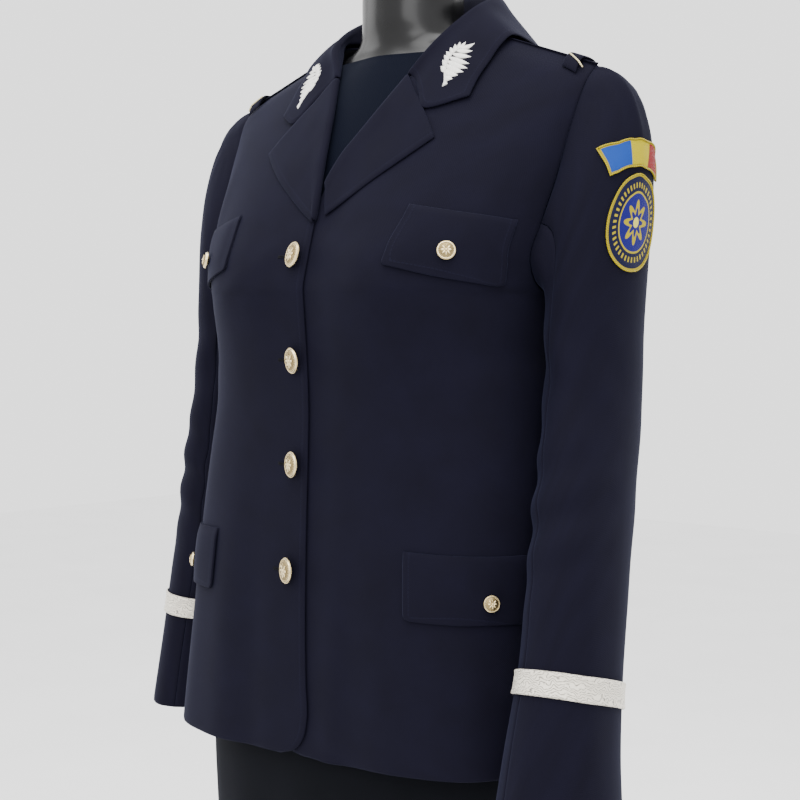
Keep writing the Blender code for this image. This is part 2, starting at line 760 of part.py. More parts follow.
def collar_row(foot, fold, edge, way):
    """One cross-section of the collar: up the stand, over the fold and down the leaf."""
    out = edge - foot
    out = (out - way * out.dot(way)).normalized()
    inner = fold - out * 0.0028 - way * 0.0028
    outer = fold + out * 0.0032 - way * 0.0020
    stand = foot.lerp(inner, 0.5)
    swell = way * 0.0012
    leaf = [outer.lerp(edge, share) + swell for share in (0.33, 0.67)]
    return [foot, stand, inner, fold, outer, *leaf, edge]


def smooth_rows(rows, between):
    """More rows on smooth curves through the given ones."""
    count = len(rows)
    places = list(range(count))
    finer = []
    for k in range((count - 1) * between + 1):
        at = k / between
        finer.append([
            Vector(curve_value([tuple(row[c]) for row in rows], places, at)) for c in range(len(rows[0]))
        ])
    return finer


def collar_rows(side, sheet):
    rows = [collar_row(*station) for station in collar_stations(side, sheet)]
    front, tip = rows[0], rows[0][-1]
    notch = sheet.at(*sheet.place(NOTCH[0], NOTCH[1] + 0.0012), 0.0034)
    outer = front[4]
    rows[0] = front[:5] + [outer.lerp(notch, 0.5), notch, tip]
    return smooth_rows(rows, 2)


def make_collar(sheets):
    left, right = (collar_rows(side, sheets[side]) for side, _ in SIDES)
    far = [[Vector((-point.x, point.y, point.z)) for point in row] for row in right]
    rows = left + far[-2::-1]

    def inside(point):
        return Vector((0.0, 0.02, point.z - 0.05))

    cloth_piece("collar", rows, CLOTH_LOOK, LAID_CLOTH, inside)
    for (side, word), own in zip(SIDES, (left, right)):
        make_sprig(f"collar_sprig_{word}", Sheet(own, inside), side)


def make_sprig(name, sheet, side):
    """A stitched leaf sprig on the collar's end, its outline a lens with five leaf tips."""
    rows = []
    for k in range(SPRIG_STEPS + 1):
        t = k / SPRIG_STEPS
        lens = math.sin(math.pi * min(t + 0.06, 1.0))
        leaves = 0.72 + 0.28 * math.cos(10 * math.pi * t)
        half = SPRIG_HALF_WIDTH * lens * leaves
        up = SPRIG_FROM + (SPRIG_TO - SPRIG_FROM) * t
        rows.append([sheet.at(SPRIG_COLUMN + half * step, up, SPRIG_LIFT) for step in (-1.0, 0.0, 1.0)])
    cloth_piece(name, rows, SILVER_LOOK, SPRIG_CLOTH, body_axis, side)


# Sleeves


def armhole_point(turn):
    """The armhole on the own side: 0 at the shoulder tip, 90 in front, 180 under the arm."""
    tip_height = shoulder_height(SHOULDER_TIP_X)
    z = UNDERARM + (tip_height - UNDERARM) * (1.0 + math.cos(math.radians(turn))) / 2.0
    back = turn < 0
    x = edge_x(BACK_ARMHOLE if back else FRONT_ARMHOLE, z)
    return torso_point(turn_at(x, z, back), z)


def sleeve_axis(sections, z):
    x, y, half_width, half_depth = section_at(sections, z)
    step = 0.01
    above, below = section_at(sections, z + step), section_at(sections, z - step)
    lean = (above[:2] - below[:2]) / (2 * step)
    return x, y, half_width, half_depth, lean[0], lean[1]


def sleeve_ring_point(sections, turn, z):
    """The sleeve below the arm, on a ring square to the sleeve."""
    x, y, half_width, half_depth, lean_x, lean_y = sleeve_axis(sections, z)
    angle = math.radians(turn)
    dx, dy = half_width * math.cos(angle), -half_depth * math.sin(angle)
    return Vector((x + dx, y + dy, z - dx * lean_x - dy * lean_y))


def sleeve_cap_point(sections, turn, run):
    """The sleeve head, run 0 at the armhole and 1 at the first ring."""
    toward_top = max(math.cos(math.radians(turn)), 0.0)
    start = armhole_point(turn) + Vector((ARMHOLE_GAP * (1.0 + 2.0 * toward_top), 0.0, 0.0))
    top = SLEEVE_HEIGHTS[0]
    end = sleeve_ring_point(sections, turn, top)
    _, _, _, _, lean_x, lean_y = sleeve_axis(sections, top)
    reach = (end - start).length
    radial = Vector((0.0, start.y - SIDE_Y, start.z - ARMHOLE_MIDDLE)).normalized()
    swell = CAP_SWELL * (1.0 - toward_top) - CAP_DROP * toward_top
    leaving = (Vector((1.0, 0.0, 0.0)) + radial * swell).normalized() * reach * CAP_FULLNESS
    arriving = Vector((-lean_x, -lean_y, -1.0)).normalized() * reach * CAP_FULLNESS
    t = run
    return (
        start * (2 * t**3 - 3 * t**2 + 1) + leaving * (t**3 - 2 * t**2 + t)
        + end * (3 * t**2 - 2 * t**3) + arriving * (t**3 - t**2)
    )


def sleeve_rows(sections, turns):
    rows = [[sleeve_cap_point(sections, turn, run) for turn in turns] for run in CAP_RUNS]
    rows += [[sleeve_ring_point(sections, turn, z) for turn in turns] for z in SLEEVE_HEIGHTS]
    return rows


def make_sleeve(side, word):
    sections = LEFT_SLEEVE if side > 0 else RIGHT_SLEEVE

    def inside(point):
        z = min(point.z, SLEEVE_MIDDLE_TOP)
        x, y, *_ = section_at(sections, z)
        return Vector((x - (point.z - z), y, z))

    turns = [-turn for turn in SLEEVE_TURNS[:0:-1]] + list(SLEEVE_TURNS)
    upper = [turn for turn in turns if abs(turn) <= UNDER_SLEEVE_FROM]
    under = [turn for turn in turns if turn >= UNDER_SLEEVE_FROM]
    under += [turn for turn in turns if -180.0 < turn <= -UNDER_SLEEVE_FROM]
    upper_rows, under_rows = sleeve_rows(sections, upper), sleeve_rows(sections, under)
    for part, rows in (("upper", upper_rows), ("under", under_rows)):
        rows = trim(rows, SLEEVE_TRIM, SLEEVE_TRIM)
        cloth_piece(f"sleeve_{part}_{word}", rows, CLOTH_LOOK, CLOTH, inside, side)
    around = upper + under[1:-1]
    rings = [[sleeve_ring_point(sections, turn, z) for turn in around] for z in BRAID_HEIGHTS]
    make_braid(f"cuff_braid_{word}", rings, inside, side)
    return Sheet(upper_rows, inside), upper


def make_braid(name, rings, inside, side):
    lifted_rings = []
    for ring in rings:
        middle = sum(ring, Vector()) / len(ring)
        lifted_rings.append([point + (point - middle).normalized() * BRAID_LIFT for point in ring])
    cloth_piece(name, lifted_rings, SILVER_LOOK, BRAID_CLOTH, inside, side, True)


def make_sleeve_marks(sheet, turns):
    """A flag tab above a round patch, on the outside of the left sleeve."""

    def mark_point(turn, z, lift):
        across = float(np.interp(turn, turns, range(len(turns))))
        return sheet.at(across, sheet.up_to(across, z), lift)

    rows = []
    for k in range(PATCH_STEPS + 1):
        level = math.cos(math.pi * k / PATCH_STEPS)
        half = PATCH_REACH[0] * math.sqrt(max(1.0 - level**2, 0.05))
        z = PATCH_HEIGHT + PATCH_REACH[1] * level
        rows.append([mark_point(MARK_TURN + half * step, z, PATCH_LIFT) for step in MARK_STOPS])
    cloth_piece("sleeve_patch", rows, PATCH_LOOK, MARK_CLOTH, body_axis)
    rows = []
    for z, reach in TAB_LEVELS:
        rows.append([
            mark_point(MARK_TURN + reach * step, z - TAB_BOW * step**2, TAB_LIFT) for step in MARK_STOPS
        ])
    cloth_piece("flag_tab", rows, FLAG_LOOK, MARK_CLOTH, body_axis)


# Shoulder loops

LOOP_XS = (0.182, 0.189, 0.196)
LOOP_YS = (-0.006, 0.0, 0.006, 0.012, 0.017, 0.022, 0.028)
LOOP_LIFT = 0.0042
LOOP_CLOTH = 0.0014


def shoulder_level(x, y):
    """The height of the cloth over the shoulder at (x, y)."""
    back = y > SIDE_Y
    low, high = CHEST_TOP, shoulder_height(x)
    for _ in range(24):
        middle = (low + high) / 2
        reach = abs(torso_point(turn_at(x, middle, back), middle).y - SIDE_Y)
        if reach > abs(y - SIDE_Y):
            low = middle
        else:
            high = middle
    return (low + high) / 2


def shoulder_at(x, y, lift):
    """A point over the shoulder, lifted square to the cloth."""
    step = 0.005
    slope = (shoulder_level(x, y + step) - shoulder_level(x, y - step)) / (2 * step)
    normal = Vector((math.tan(SHOULDER_SLOPE), -slope, 1.0)).normalized()
    return Vector((x, y, shoulder_level(x, y))) + normal * lift


def make_shoulder_loops():
    for side, word in SIDES:
        rows = [[shoulder_at(x, y, LOOP_LIFT) for x in LOOP_XS] for y in LOOP_YS]
        cloth_piece(f"shoulder_loop_{word}", rows, CLOTH_LOOK, LOOP_CLOTH, body_axis, side)


# Skirt

FORM_STEPS = 6
FORM_SIDE_TURN = 86.0
HALF_TURNS = [FORM_SIDE_TURN * k / FORM_STEPS for k in range(-FORM_STEPS, FORM_STEPS + 1)]


def oval_point(sections, turn, z):
    half_width, front, back = section_at(sections, z)
    angle = math.radians(turn)
    power = 2.0 / BACK_SQUARENESS
    x = half_width * math.copysign(abs(math.sin(angle)) ** power, math.sin(angle))
    inward = abs(math.cos(angle)) ** power
    y = -front * inward if math.cos(angle) > 0 else back * inward
    return Vector((x, y, z))


def make_skirt():
    front_turns = [-90.0] + HALF_TURNS + [90.0]
    rows = [[oval_point(SKIRT_SECTIONS, turn, z) for turn in front_turns] for z in SKIRT_HEIGHTS]
    cloth_piece("skirt_front", trim(rows, SEAM_TRIM, SEAM_TRIM), SKIRT_LOOK, SKIRT_CLOTH, body_axis)
    back_turns = [90.0] + [180.0 + turn for turn in HALF_TURNS if turn <= 0]
    rows = [[oval_point(SKIRT_SECTIONS, turn, z) for turn in back_turns] for z in SKIRT_HEIGHTS]
    for side, word in SIDES:
        trimmed = trim(rows, SEAM_TRIM, SEAM_TRIM)
        cloth_piece(f"skirt_back_{word}", trimmed, SKIRT_LOOK, SKIRT_CLOTH, body_axis, side)
    ring = front_turns + [180.0 + turn for turn in HALF_TURNS]
    rows = [[oval_point(SKIRT_SECTIONS, turn, z) for turn in ring] for z in WAISTBAND_HEIGHTS]
    cloth_piece("waistband", rows, SKIRT_LOOK, SKIRT_CLOTH, body_axis, 1, True)


# Dress form

FORM_LOW_HEIGHTS = (0.800, 0.880, 0.960, 1.020, 1.050, 1.080)
FORM_HIGH_HEIGHTS = (
    1.120, 1.160, 1.200, 1.250, 1.300, 1.340, 1.370, 1.388, 1.404, 1.418, 1.432, 1.445, 1.465,
)
# The form's share of the jacket's size, with its height
FORM_EASE = (
    (0.84, 1.100), (0.87, 1.143), (0.90, 1.190), (0.925, 1.250),
    (0.935, 1.300), (0.940, 1.350), (0.950, 1.400), (0.960, 1.440),
)
FORM_DROP = 0.0030
FORM_TOP_LEVEL = 1.455


def form_ring(z):
    if z <= FORM_SECTIONS[-1][0]:
        turns = HALF_TURNS + [180.0 + turn for turn in HALF_TURNS]
        return [oval_point(FORM_SECTIONS, turn, z) for turn in turns]
    ease = edge_x(FORM_EASE, z)
    level = min(z + FORM_DROP, FORM_TOP_LEVEL)
    ridge_x = NECK_POINT[0] + (NECK_POINT[1] - level) / math.tan(SHOULDER_SLOPE)
    ring = []
    for back, armhole in ((False, FRONT_ARMHOLE), (True, BACK_ARMHOLE)):
        limit = FORM_SIDE_TURN
        if z > UNDERARM:
            widest = min(edge_x(armhole, level) * 0.985, ridge_x * 0.99)
            limit = min(abs(turn_at(widest, level)), FORM_SIDE_TURN)
        half = []
        for turn in HALF_TURNS:
            turn = turn * limit / FORM_SIDE_TURN
            point = torso_point(math.copysign(180.0 - abs(turn), turn) if back else turn, level)
            half.append(Vector((point.x * ease, SIDE_Y + (point.y - SIDE_Y) * ease, z)))
        ring += half[::-1] if back else half
    necked = blend((z - 1.400) / 0.045)
    count = len(HALF_TURNS)
    for k, point in enumerate(ring):
        turn = math.radians(-90.0 + 180.0 * (k % count + 0.5) / count)
        reach = NECK_RADIUS if k < count else -NECK_RADIUS
        around = Vector((reach * math.sin(turn), NECK_Y - reach * math.cos(turn), z))
        ring[k] = point.lerp(around, necked)
    return ring


def make_form():
    rings = [form_ring(z) for z in FORM_LOW_HEIGHTS + FORM_HIGH_HEIGHTS]
    neck = [Vector((point.x, point.y, NECK_TOP)) for point in rings[-1]]
    loft_piece("form_torso", rings + [neck], FORM_LOOK)
    up = Vector((0.0, 0.0, 1.0))
    cap = ((0.0, 0.016), (0.030, 0.016), (0.044, 0.012), (0.050, 0.004), (0.050, 0.0), (0.0, 0.0))
    turned_piece("neck_cap", cap, CAP_LOOK, Vector((0.0, NECK_Y, NECK_TOP + FIT_GAP)), up, 24)
    top, low = FORM_BOTTOM - FIT_GAP, BASE_THICKNESS + FIT_GAP
    pole = ((0.0, top), (POLE_RADIUS, top), (POLE_RADIUS, low), (0.0, low))
    turned_piece("pole", pole, STEEL_LOOK, Vector(), up, 20)
    bore = POLE_RADIUS + FIT_GAP
    flange = ((bore, 0.022), (0.026, 0.020), (0.034, 0.006), (0.034, 0.0), (bore, 0.0), (bore, 0.022))
    turned_piece("pole_flange", flange, STEEL_LOOK, Vector((0.0, 0.0, low)), up, 20)
    shoulder, rim = BASE_RADIUS - BASE_ROUND, BASE_THICKNESS - BASE_ROUND
    base = (
        (0.0, BASE_THICKNESS), (shoulder, BASE_THICKNESS), (BASE_RADIUS, rim), (BASE_RADIUS, 0.0), (0.0, 0.0),
    )
    turned_piece("base", base, BASE_LOOK, Vector(), up, 48)


for thing in list(bpy.data.objects):
    bpy.data.objects.remove(thing)
SUIT = bpy.data.collections.new("skirt suit on a dress form")
bpy.context.scene.collection.children.link(SUIT)

CLOTH_LOOK = make_material("navy wool", (0.012, 0.012, 0.024), 0.85)
SKIRT_LOOK = make_material("dark navy wool", (0.010, 0.012, 0.020), 0.85)
BUTTON_LOOK = make_material("pale brass", (0.80, 0.72, 0.50), 0.30, 1.0)
SILVER_LOOK = make_material("silver thread", (0.72, 0.71, 0.68), 0.45, 0.3)
PATCH_LOOK = make_material("blue patch cloth", (0.03, 0.10, 0.42), 0.75)
FLAG_LOOK = make_material("flag cloth", (0.85, 0.65, 0.05), 0.70)
FORM_LOOK = make_material("gloss black plastic", (0.012, 0.012, 0.013), 0.18)
CAP_LOOK = make_material("satin black plastic", (0.02, 0.02, 0.02), 0.40)
STEEL_LOOK = make_material("brushed steel", (0.60, 0.60, 0.60), 0.32, 1.0)
BASE_LOOK = make_material("black painted steel", (0.02, 0.02, 0.02), 0.35)
SIDES = ((1, "left"), (-1, "right"))

SHEETS = {side: make_front(side, word) for side, word in SIDES}
make_backs()
make_collar(SHEETS)
SLEEVES = {side: make_sleeve(side, word) for side, word in SIDES}
make_sleeve_marks(*SLEEVES[1])
make_shoulder_loops()
make_skirt()
make_form()
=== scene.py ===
"""The looks of a uniform jacket and skirt on a limbless dress form.

Metres, +Z up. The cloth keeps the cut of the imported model, read at a finer step, with its folds,
turned edges, stitching and lining.
"""

import math
from functools import lru_cache, partial

import bpy
import numpy as np
from mathutils import Matrix, Vector


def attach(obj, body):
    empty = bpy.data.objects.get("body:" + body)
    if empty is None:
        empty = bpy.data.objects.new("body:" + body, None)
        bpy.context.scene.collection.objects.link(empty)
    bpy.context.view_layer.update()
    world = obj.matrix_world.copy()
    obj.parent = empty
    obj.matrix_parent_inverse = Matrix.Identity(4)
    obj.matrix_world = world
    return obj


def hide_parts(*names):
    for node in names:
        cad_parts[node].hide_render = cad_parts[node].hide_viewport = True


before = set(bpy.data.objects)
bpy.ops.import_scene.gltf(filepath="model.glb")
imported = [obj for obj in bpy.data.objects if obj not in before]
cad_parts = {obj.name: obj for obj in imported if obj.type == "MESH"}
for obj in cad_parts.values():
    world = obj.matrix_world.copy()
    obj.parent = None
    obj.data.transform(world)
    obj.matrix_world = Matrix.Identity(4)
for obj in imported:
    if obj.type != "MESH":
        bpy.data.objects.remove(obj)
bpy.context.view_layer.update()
bpy.ops.object.select_all(action="DESELECT")

UPWARD = Vector((0.0, 0.0, 1.0))

# Driving dimensions
CLOTH = 0.0020
LAID_CLOTH = 0.0018
SKIRT_CLOTH = 0.0015
SEAM_TRIM = 0.0003
SHOULDER_SEAM_TRIM = 0.0024
SHOULDER_SEAM_DROP = 0.0014
CENTRE_TRIM = 0.0006
ARMHOLE_GAP = 0.0006
NAPE_TRIM = 0.0012
JACKET_HEM = 0.789
HEM_TILT = 0.024
UNDERARM = 1.190
CHEST_TOP = 1.205
SIDE_Y = 0.006
NECK_POINT = (0.075, 1.437)
BACK_NECK_HEIGHT = 1.447
SHOULDER_TIP_X = 0.207
SHOULDER_SLOPE = math.radians(20.0)
FRONT_CURVE = (1.1, 1.3)
BACK_CURVE = (3.0, 3.0)
BACK_SQUARENESS = 2.3
BUST_BUMP = 0.011
BUST_PLACE = (0.090, 1.205)
BUST_SPREAD = (0.055, 0.070)
FRONT_OVERLAP_DIP = 0.0031
BUTTON_X = -0.0090
BUTTON_HEIGHTS = (1.226, 1.135, 1.043, 0.950)
BUTTON_RADIUS = 0.0115
POLE_RADIUS = 0.016
BASE_RADIUS = 0.200
BASE_THICKNESS = 0.008
FORM_BOTTOM = 0.800
NECK_RADIUS = 0.048
NECK_Y = 0.016
NECK_TOP = 1.530
FIT_GAP = 0.0004
# The worn jacket: height, half width, front depth, back depth, squareness of the front
JACKET_SECTIONS = (
    (0.780, 0.2120, 0.148, 0.114, 3.4),
    (0.828, 0.2080, 0.146, 0.118, 3.3),
    (0.876, 0.2030, 0.144, 0.120, 3.2),
    (0.973, 0.1940, 0.138, 0.119, 3.1),
    (1.046, 0.1850, 0.133, 0.112, 3.0),
    (1.095, 0.1780, 0.131, 0.107, 2.9),
    (1.143, 0.1735, 0.133, 0.108, 2.9),
    (1.190, 0.1755, 0.137, 0.114, 2.9),
    (1.215, 0.1820, 0.138, 0.118, 2.9),
    (1.250, 0.1920, 0.139, 0.122, 2.9),
    (1.290, 0.2000, 0.140, 0.124, 2.9),
    (1.340, 0.2080, 0.140, 0.124, 2.9),
    (1.470, 0.2260, 0.140, 0.124, 2.9),
)
# Edges of the panels, as (x, height). x counts from the centre line toward the panel's own side.
RIGHT_EDGE = ((-0.016, 0.819), (-0.008, 0.950), (-0.003, 1.100), (-0.003, 1.255))
LEFT_EDGE = ((-0.022, 0.810), (-0.022, 1.240))
HEM_CORNER = 0.030
LEFT_ROLL = (
    (-0.022, 1.240), (-0.006, 1.272), (0.004, 1.305), (0.015, 1.332), (0.028, 1.350),
    (0.039, 1.368), (0.0465, 1.388), (0.058, 1.412), (0.075, 1.437),
)
RIGHT_ROLL = (
    (-0.003, 1.255), (0.007, 1.281), (0.013, 1.313), (0.020, 1.342), (0.031, 1.370),
    (0.043, 1.395), (0.057, 1.417), (0.075, 1.437),
)
FRONT_ARMHOLE = (
    (0.1755, 1.190), (0.1785, 1.215), (0.1870, 1.250),
    (0.1950, 1.290), (0.2015, 1.340), (0.2070, 1.389),
)
BACK_ARMHOLE = (
    (0.1755, 1.190), (0.1780, 1.215), (0.1840, 1.250),
    (0.1905, 1.290), (0.1985, 1.340), (0.2070, 1.389),
)
# Heights of the panels' rows below the arm, and turns round the armhole, 0 at the shoulder tip
BODY_HEIGHTS = (
    0.789, 0.793, 0.804, 0.819, 0.855, 0.900, 0.950, 1.000, 1.050, 1.095, 1.143, 1.190,
)
ARM_TURNS = (157.5, 135.0, 112.5, 90.0, 67.5, 45.0, 22.5, 4.4, 0.0)
# Lapels and collar, as (x, height) on the own side
LAPEL_EDGE = (
    (0.000, 1.2545), (0.018, 1.266), (0.037, 1.279), (0.057, 1.293), (0.077, 1.308), (0.099, 1.326),
)
NOTCH = (0.078, 1.353)
# The sleeves: height, x of the middle, y of the middle, half width, half depth
LEFT_SLEEVE = (
    (0.775, 0.2495, -0.1025, 0.0470, 0.0600),
    (0.830, 0.2470, -0.0925, 0.0420, 0.0540),
    (0.880, 0.2440, -0.0790, 0.0385, 0.0500),
    (0.950, 0.2370, -0.0585, 0.0375, 0.0500),
    (1.020, 0.2265, -0.0320, 0.0370, 0.0510),
    (1.100, 0.2160, -0.0040, 0.0360, 0.0530),
    (1.165, 0.2130, 0.0020, 0.0365, 0.0540),
)
RIGHT_SLEEVE = (
    (0.775, 0.2550, -0.0130, 0.0415, 0.0620),
    (0.830, 0.2525, -0.0110, 0.0390, 0.0550),
    (0.880, 0.2490, -0.0085, 0.0380, 0.0500),
    (0.950, 0.2410, -0.0020, 0.0375, 0.0500),
    (1.020, 0.2300, -0.0020, 0.0370, 0.0510),
    (1.100, 0.2170, 0.0000, 0.0360, 0.0530),
    (1.165, 0.2130, 0.0020, 0.0365, 0.0540),
)
CAP_SWELL = 0.26
CAP_DROP = 0.30
CAP_FULLNESS = 1.05
ARMHOLE_MIDDLE = 1.290
CAP_RUNS = (0.0, 0.06, 0.18, 0.35, 0.55, 0.78)
SLEEVE_HEIGHTS = (1.165, 1.120, 1.070, 1.020, 0.970, 0.925, 0.8845, 0.8645, 0.825, 0.775)
SLEEVE_TURNS = (0.0, 4.4, 22.5, 45.0, 67.5, 90.0, 112.5, 135.0, 157.5, 180.0)
UNDER_SLEEVE_FROM = 112.5
SLEEVE_MIDDLE_TOP = 1.250
BRAID_HEIGHTS = (0.8845, 0.8645)
BRAID_LIFT = 0.0022
BRAID_CLOTH = 0.0014
# The marks on the left sleeve, with turns in degrees round the sleeve
MARK_TURN = 12.0
MARK_CLOTH = 0.0012
PATCH_HEIGHT = 1.2515
PATCH_REACH = (38.0, 0.040)
TAB_LEVELS = ((1.298, 42.0), (1.309, 48.0), (1.320, 54.0))
TAB_BOW = 0.010
# The skirt: height, half width, front depth, back depth
SKIRT_SECTIONS = (
    (0.500, 0.180, 0.122, 0.106),
    (0.640, 0.188, 0.128, 0.108),
    (0.780, 0.196, 0.134, 0.106),
    (0.880, 0.190, 0.127, 0.108),
    (0.960, 0.174, 0.117, 0.105),
    (1.020, 0.158, 0.108, 0.093),
    (1.050, 0.150, 0.103, 0.086),
    (1.080, 0.147, 0.102, 0.083),
)
SKIRT_HEIGHTS = (0.500, 0.570, 0.640, 0.710, 0.780, 0.840, 0.900, 0.960, 1.010, 1.0495)
WAISTBAND_HEIGHTS = (1.050, 1.080)
# The form: height, half width, front depth, back depth
FORM_SECTIONS = (
    (0.800, 0.166, 0.104, 0.092),
    (0.880, 0.172, 0.110, 0.096),
    (0.960, 0.165, 0.107, 0.094),
    (1.020, 0.151, 0.101, 0.086),
    (1.050, 0.1482, 0.1012, 0.0842),
    (1.080, 0.1452, 0.1002, 0.0812),
    (1.100, 0.146, 0.103, 0.083),
)


def hermite(t, span, start, end, start_slope, end_slope):
    """The smooth curve between two points with given slopes, at a share t of the way."""
    return (
        (2 * t**3 - 3 * t**2 + 1) * start + (t**3 - 2 * t**2 + t) * span * start_slope
        + (3 * t**2 - 2 * t**3) * end + (t**3 - t**2) * span * end_slope
    )


def curve_value(points, places, at):
    """A smooth curve through points at places, read at one place and held at its ends."""
    places, points = np.asarray(places, float), np.asarray(points, float)
    at = min(max(at, places[0]), places[-1])
    slopes = np.gradient(points, places, axis=0)
    k = min(max(int(np.searchsorted(places, at)) - 1, 0), len(places) - 2)
    span = places[k + 1] - places[k]
    return hermite((at - places[k]) / span, span, points[k], points[k + 1], slopes[k], slopes[k + 1])


def section_at(sections, height):
    """The values of a table of sections at one height."""
    return curve_value([row[1:] for row in sections], [row[0] for row in sections], height)


def edge_x(edge, height):
    """The x of an edge, given as (x, height) points, at one height."""
    return float(curve_value([x for x, _ in edge], [z for _, z in edge], height))


def ease(value, start, end):
    """A soft step: 0 up to the start, 1 from the end on."""
    t = np.clip((value - start) / (end - start), 0.0, 1.0)
    return t * t * (3.0 - 2.0 * t)


def halving(low, high, too_low):
    """The value between low and high at which a test stops being true."""
    for _ in range(24):
        middle = (low + high) / 2
        low, high = (middle, high) if too_low(middle) else (low, middle)
    return (low + high) / 2


# The worn surface

def shoulder_height(x):
    return NECK_POINT[1] - (abs(x) - NECK_POINT[0]) * math.tan(SHOULDER_SLOPE)


def shoulder_fall(x, z, curve):
    """How far the chest or back still reaches out at height z: 1 at the chest, 0 on the ridge."""
    if z <= CHEST_TOP:
        return 1.0
    climb = min(max((z - CHEST_TOP) / (shoulder_height(x) - CHEST_TOP), 0.0), 1.0)
    bend, rounding = curve
    return (1.0 - climb**bend) ** (1.0 / rounding)


@lru_cache(maxsize=None)
def jacket_section(z):
    return section_at(JACKET_SECTIONS, z)


def torso_point(turn, z):
    """The jacket's outer face at a turn in degrees: 0 centre front, 90 left side, 180 centre back."""
    half_width, front, back, square = jacket_section(z)
    facing_front = abs(turn) <= 90.0
    square = square if facing_front else BACK_SQUARENESS
    angle = math.radians(abs(turn))
    x = half_width * abs(math.sin(angle)) ** (2.0 / square)
    inward = abs(math.cos(angle)) ** (2.0 / square)
    if facing_front:
        off_x = (x - BUST_PLACE[0]) / BUST_SPREAD[0]
        off_z = (z - BUST_PLACE[1]) / BUST_SPREAD[1]
        bump = BUST_BUMP * math.exp(-(off_x**2) - off_z**2) * min(inward * 2.0, 1.0)
        y = SIDE_Y - (front + SIDE_Y) * inward * shoulder_fall(x, z, FRONT_CURVE) - bump
    else:
        y = SIDE_Y + (back - SIDE_Y) * inward * shoulder_fall(x, z, BACK_CURVE)
    return Vector((math.copysign(x, turn), y, z))


def turn_at(x, z, back=False):
    """The turn at which the jacket's face passes x, on the front or on the back."""
    half_width, _, _, square = jacket_section(z)
    square = BACK_SQUARENESS if back else square
    ratio = min(abs(x) / half_width, 1.0)
    turn = math.degrees(math.asin(ratio ** (square / 2.0)))
    return math.copysign(180.0 - turn if back else turn, x)


@lru_cache(maxsize=None)
def cloth_run(z, back):
    """Turns round one half, and the length of cloth from the centre line to each."""
    steps = np.linspace(0.0, 1.0, 81) ** 1.6 * 90.0
    turns = 180.0 - steps if back else steps
    points = np.array([torso_point(turn, z) for turn in turns])
    lengths = np.linalg.norm(np.diff(points, axis=0), axis=1)
    return turns, np.concatenate(([0.0], np.cumsum(lengths)))


def length_at(x, z, back=False):
    """Length of cloth from the centre line out to x, at height z."""
    turns, lengths = cloth_run(round(z, 5), back)
    turn = abs(turn_at(x, z, back))
    order = -1 if back else 1
    return math.copysign(np.interp(turn, turns[::order], lengths[::order]), x)


def turn_after(length, z, back=False):
    """The turn after a length of cloth from the centre line, at height z."""
    turns, lengths = cloth_run(round(z, 5), back)
    return math.copysign(np.interp(abs(length), lengths, turns), length)


# Grids of points on cloth

class Sheet:
    """A grid of points on the outer face of cloth. It can be read between its points, and lifted."""

    def __init__(self, rows, inside):
        self.rows = rows
        self.up_steps = len(rows) - 1
        self.across_steps = len(rows[0]) - 1
        self.normals = [
            [self.normal(r, c, inside) for c in range(len(rows[0]))] for r in range(len(rows))
        ]

    def normal(self, r, c, inside):
        rows = self.rows
        left, right = max(c - 1, 0), min(c + 1, self.across_steps)
        low, high = max(r - 1, 0), min(r + 1, self.up_steps)
        across = rows[r][right] - rows[r][left]
        along = rows[high][c] - rows[low][c]
        normal = across.cross(along).normalized()
        return normal if normal.dot(rows[r][c] - inside(rows[r][c])) > 0 else -normal

    def read(self, grid, across, up):
        c = min(max(int(across), 0), self.across_steps - 1)
        r = min(max(int(up), 0), self.up_steps - 1)
        s, t = across - c, up - r
        low = grid[r][c].lerp(grid[r][c + 1], s)
        high = grid[r + 1][c].lerp(grid[r + 1][c + 1], s)
        return low.lerp(high, t)

    def at(self, across, up, lift=0.0):
        return self.read(self.rows, across, up) + self.normal_at(across, up) * lift

    def normal_at(self, across, up):
        return self.read(self.normals, across, up).normalized()

    def up_to(self, across, z):
        """The row place where one column reaches height z."""
        rising = self.rows[-1][0].z > self.rows[0][0].z
        return halving(
            0.0, float(self.up_steps), lambda up: (self.read(self.rows, across, up).z < z) == rising
        )

    def place(self, x, z):
        """The column and row place of the point (x, z)."""
        across = halving(
            0.0, float(self.across_steps), lambda c: self.read(self.rows, c, self.up_to(c, z)).x < x
        )
        return across, self.up_to(across, z)


def trim(rows, first, last):
    """The rows with their first and last points drawn in along the row."""
    trimmed = []
    for row in rows:
        row = list(row)
        row[0] = row[0] + (row[1] - row[0]).normalized() * first
        row[-1] = row[-1] + (row[-2] - row[-1]).normalized() * last
        trimmed.append(row)
    return trimmed


def body_axis(point):
    """The point on the body's middle line that a point of the jacket faces away from."""
    return Vector((0.0, 0.0, min(point.z, 1.30)))


# Jacket panels

def corner_cut(z):
    """How far a front's lower corner is cut back at height z."""
    rise = min(max((JACKET_HEM + HEM_CORNER - z) / HEM_CORNER, 0.0), 1.0)
    return HEM_CORNER * (1.0 - math.sqrt(1.0 - rise**2))


def front_edge_x(side, z):
    edge, roll = (LEFT_EDGE, LEFT_ROLL) if side > 0 else (RIGHT_EDGE, RIGHT_ROLL)
    if z > roll[0][1]:
        return edge_x(roll, z)
    return edge_x(edge, z) + corner_cut(z)


def overlap_dip(side, x, z):
    """The left front lies behind the right one where they overlap."""
    if side < 0:
        return 0.0
    beyond_edge = ease(x, 0.022, 0.052)
    above_overlap = ease(z, 1.300, 1.345)
    return FRONT_OVERLAP_DIP * (1.0 - beyond_edge) * (1.0 - above_overlap)


def hem_rise(x, z):
    """The hem hangs a little higher on the wearer's left."""
    return HEM_TILT * x * (1.0 - ease(z, JACKET_HEM, JACKET_HEM + 0.100))


def front_point(side, turn, z):
    point = torso_point(turn, z)
    point.y += overlap_dip(side, point.x, z)
    point.z += hem_rise(side * point.x, z)
    return point


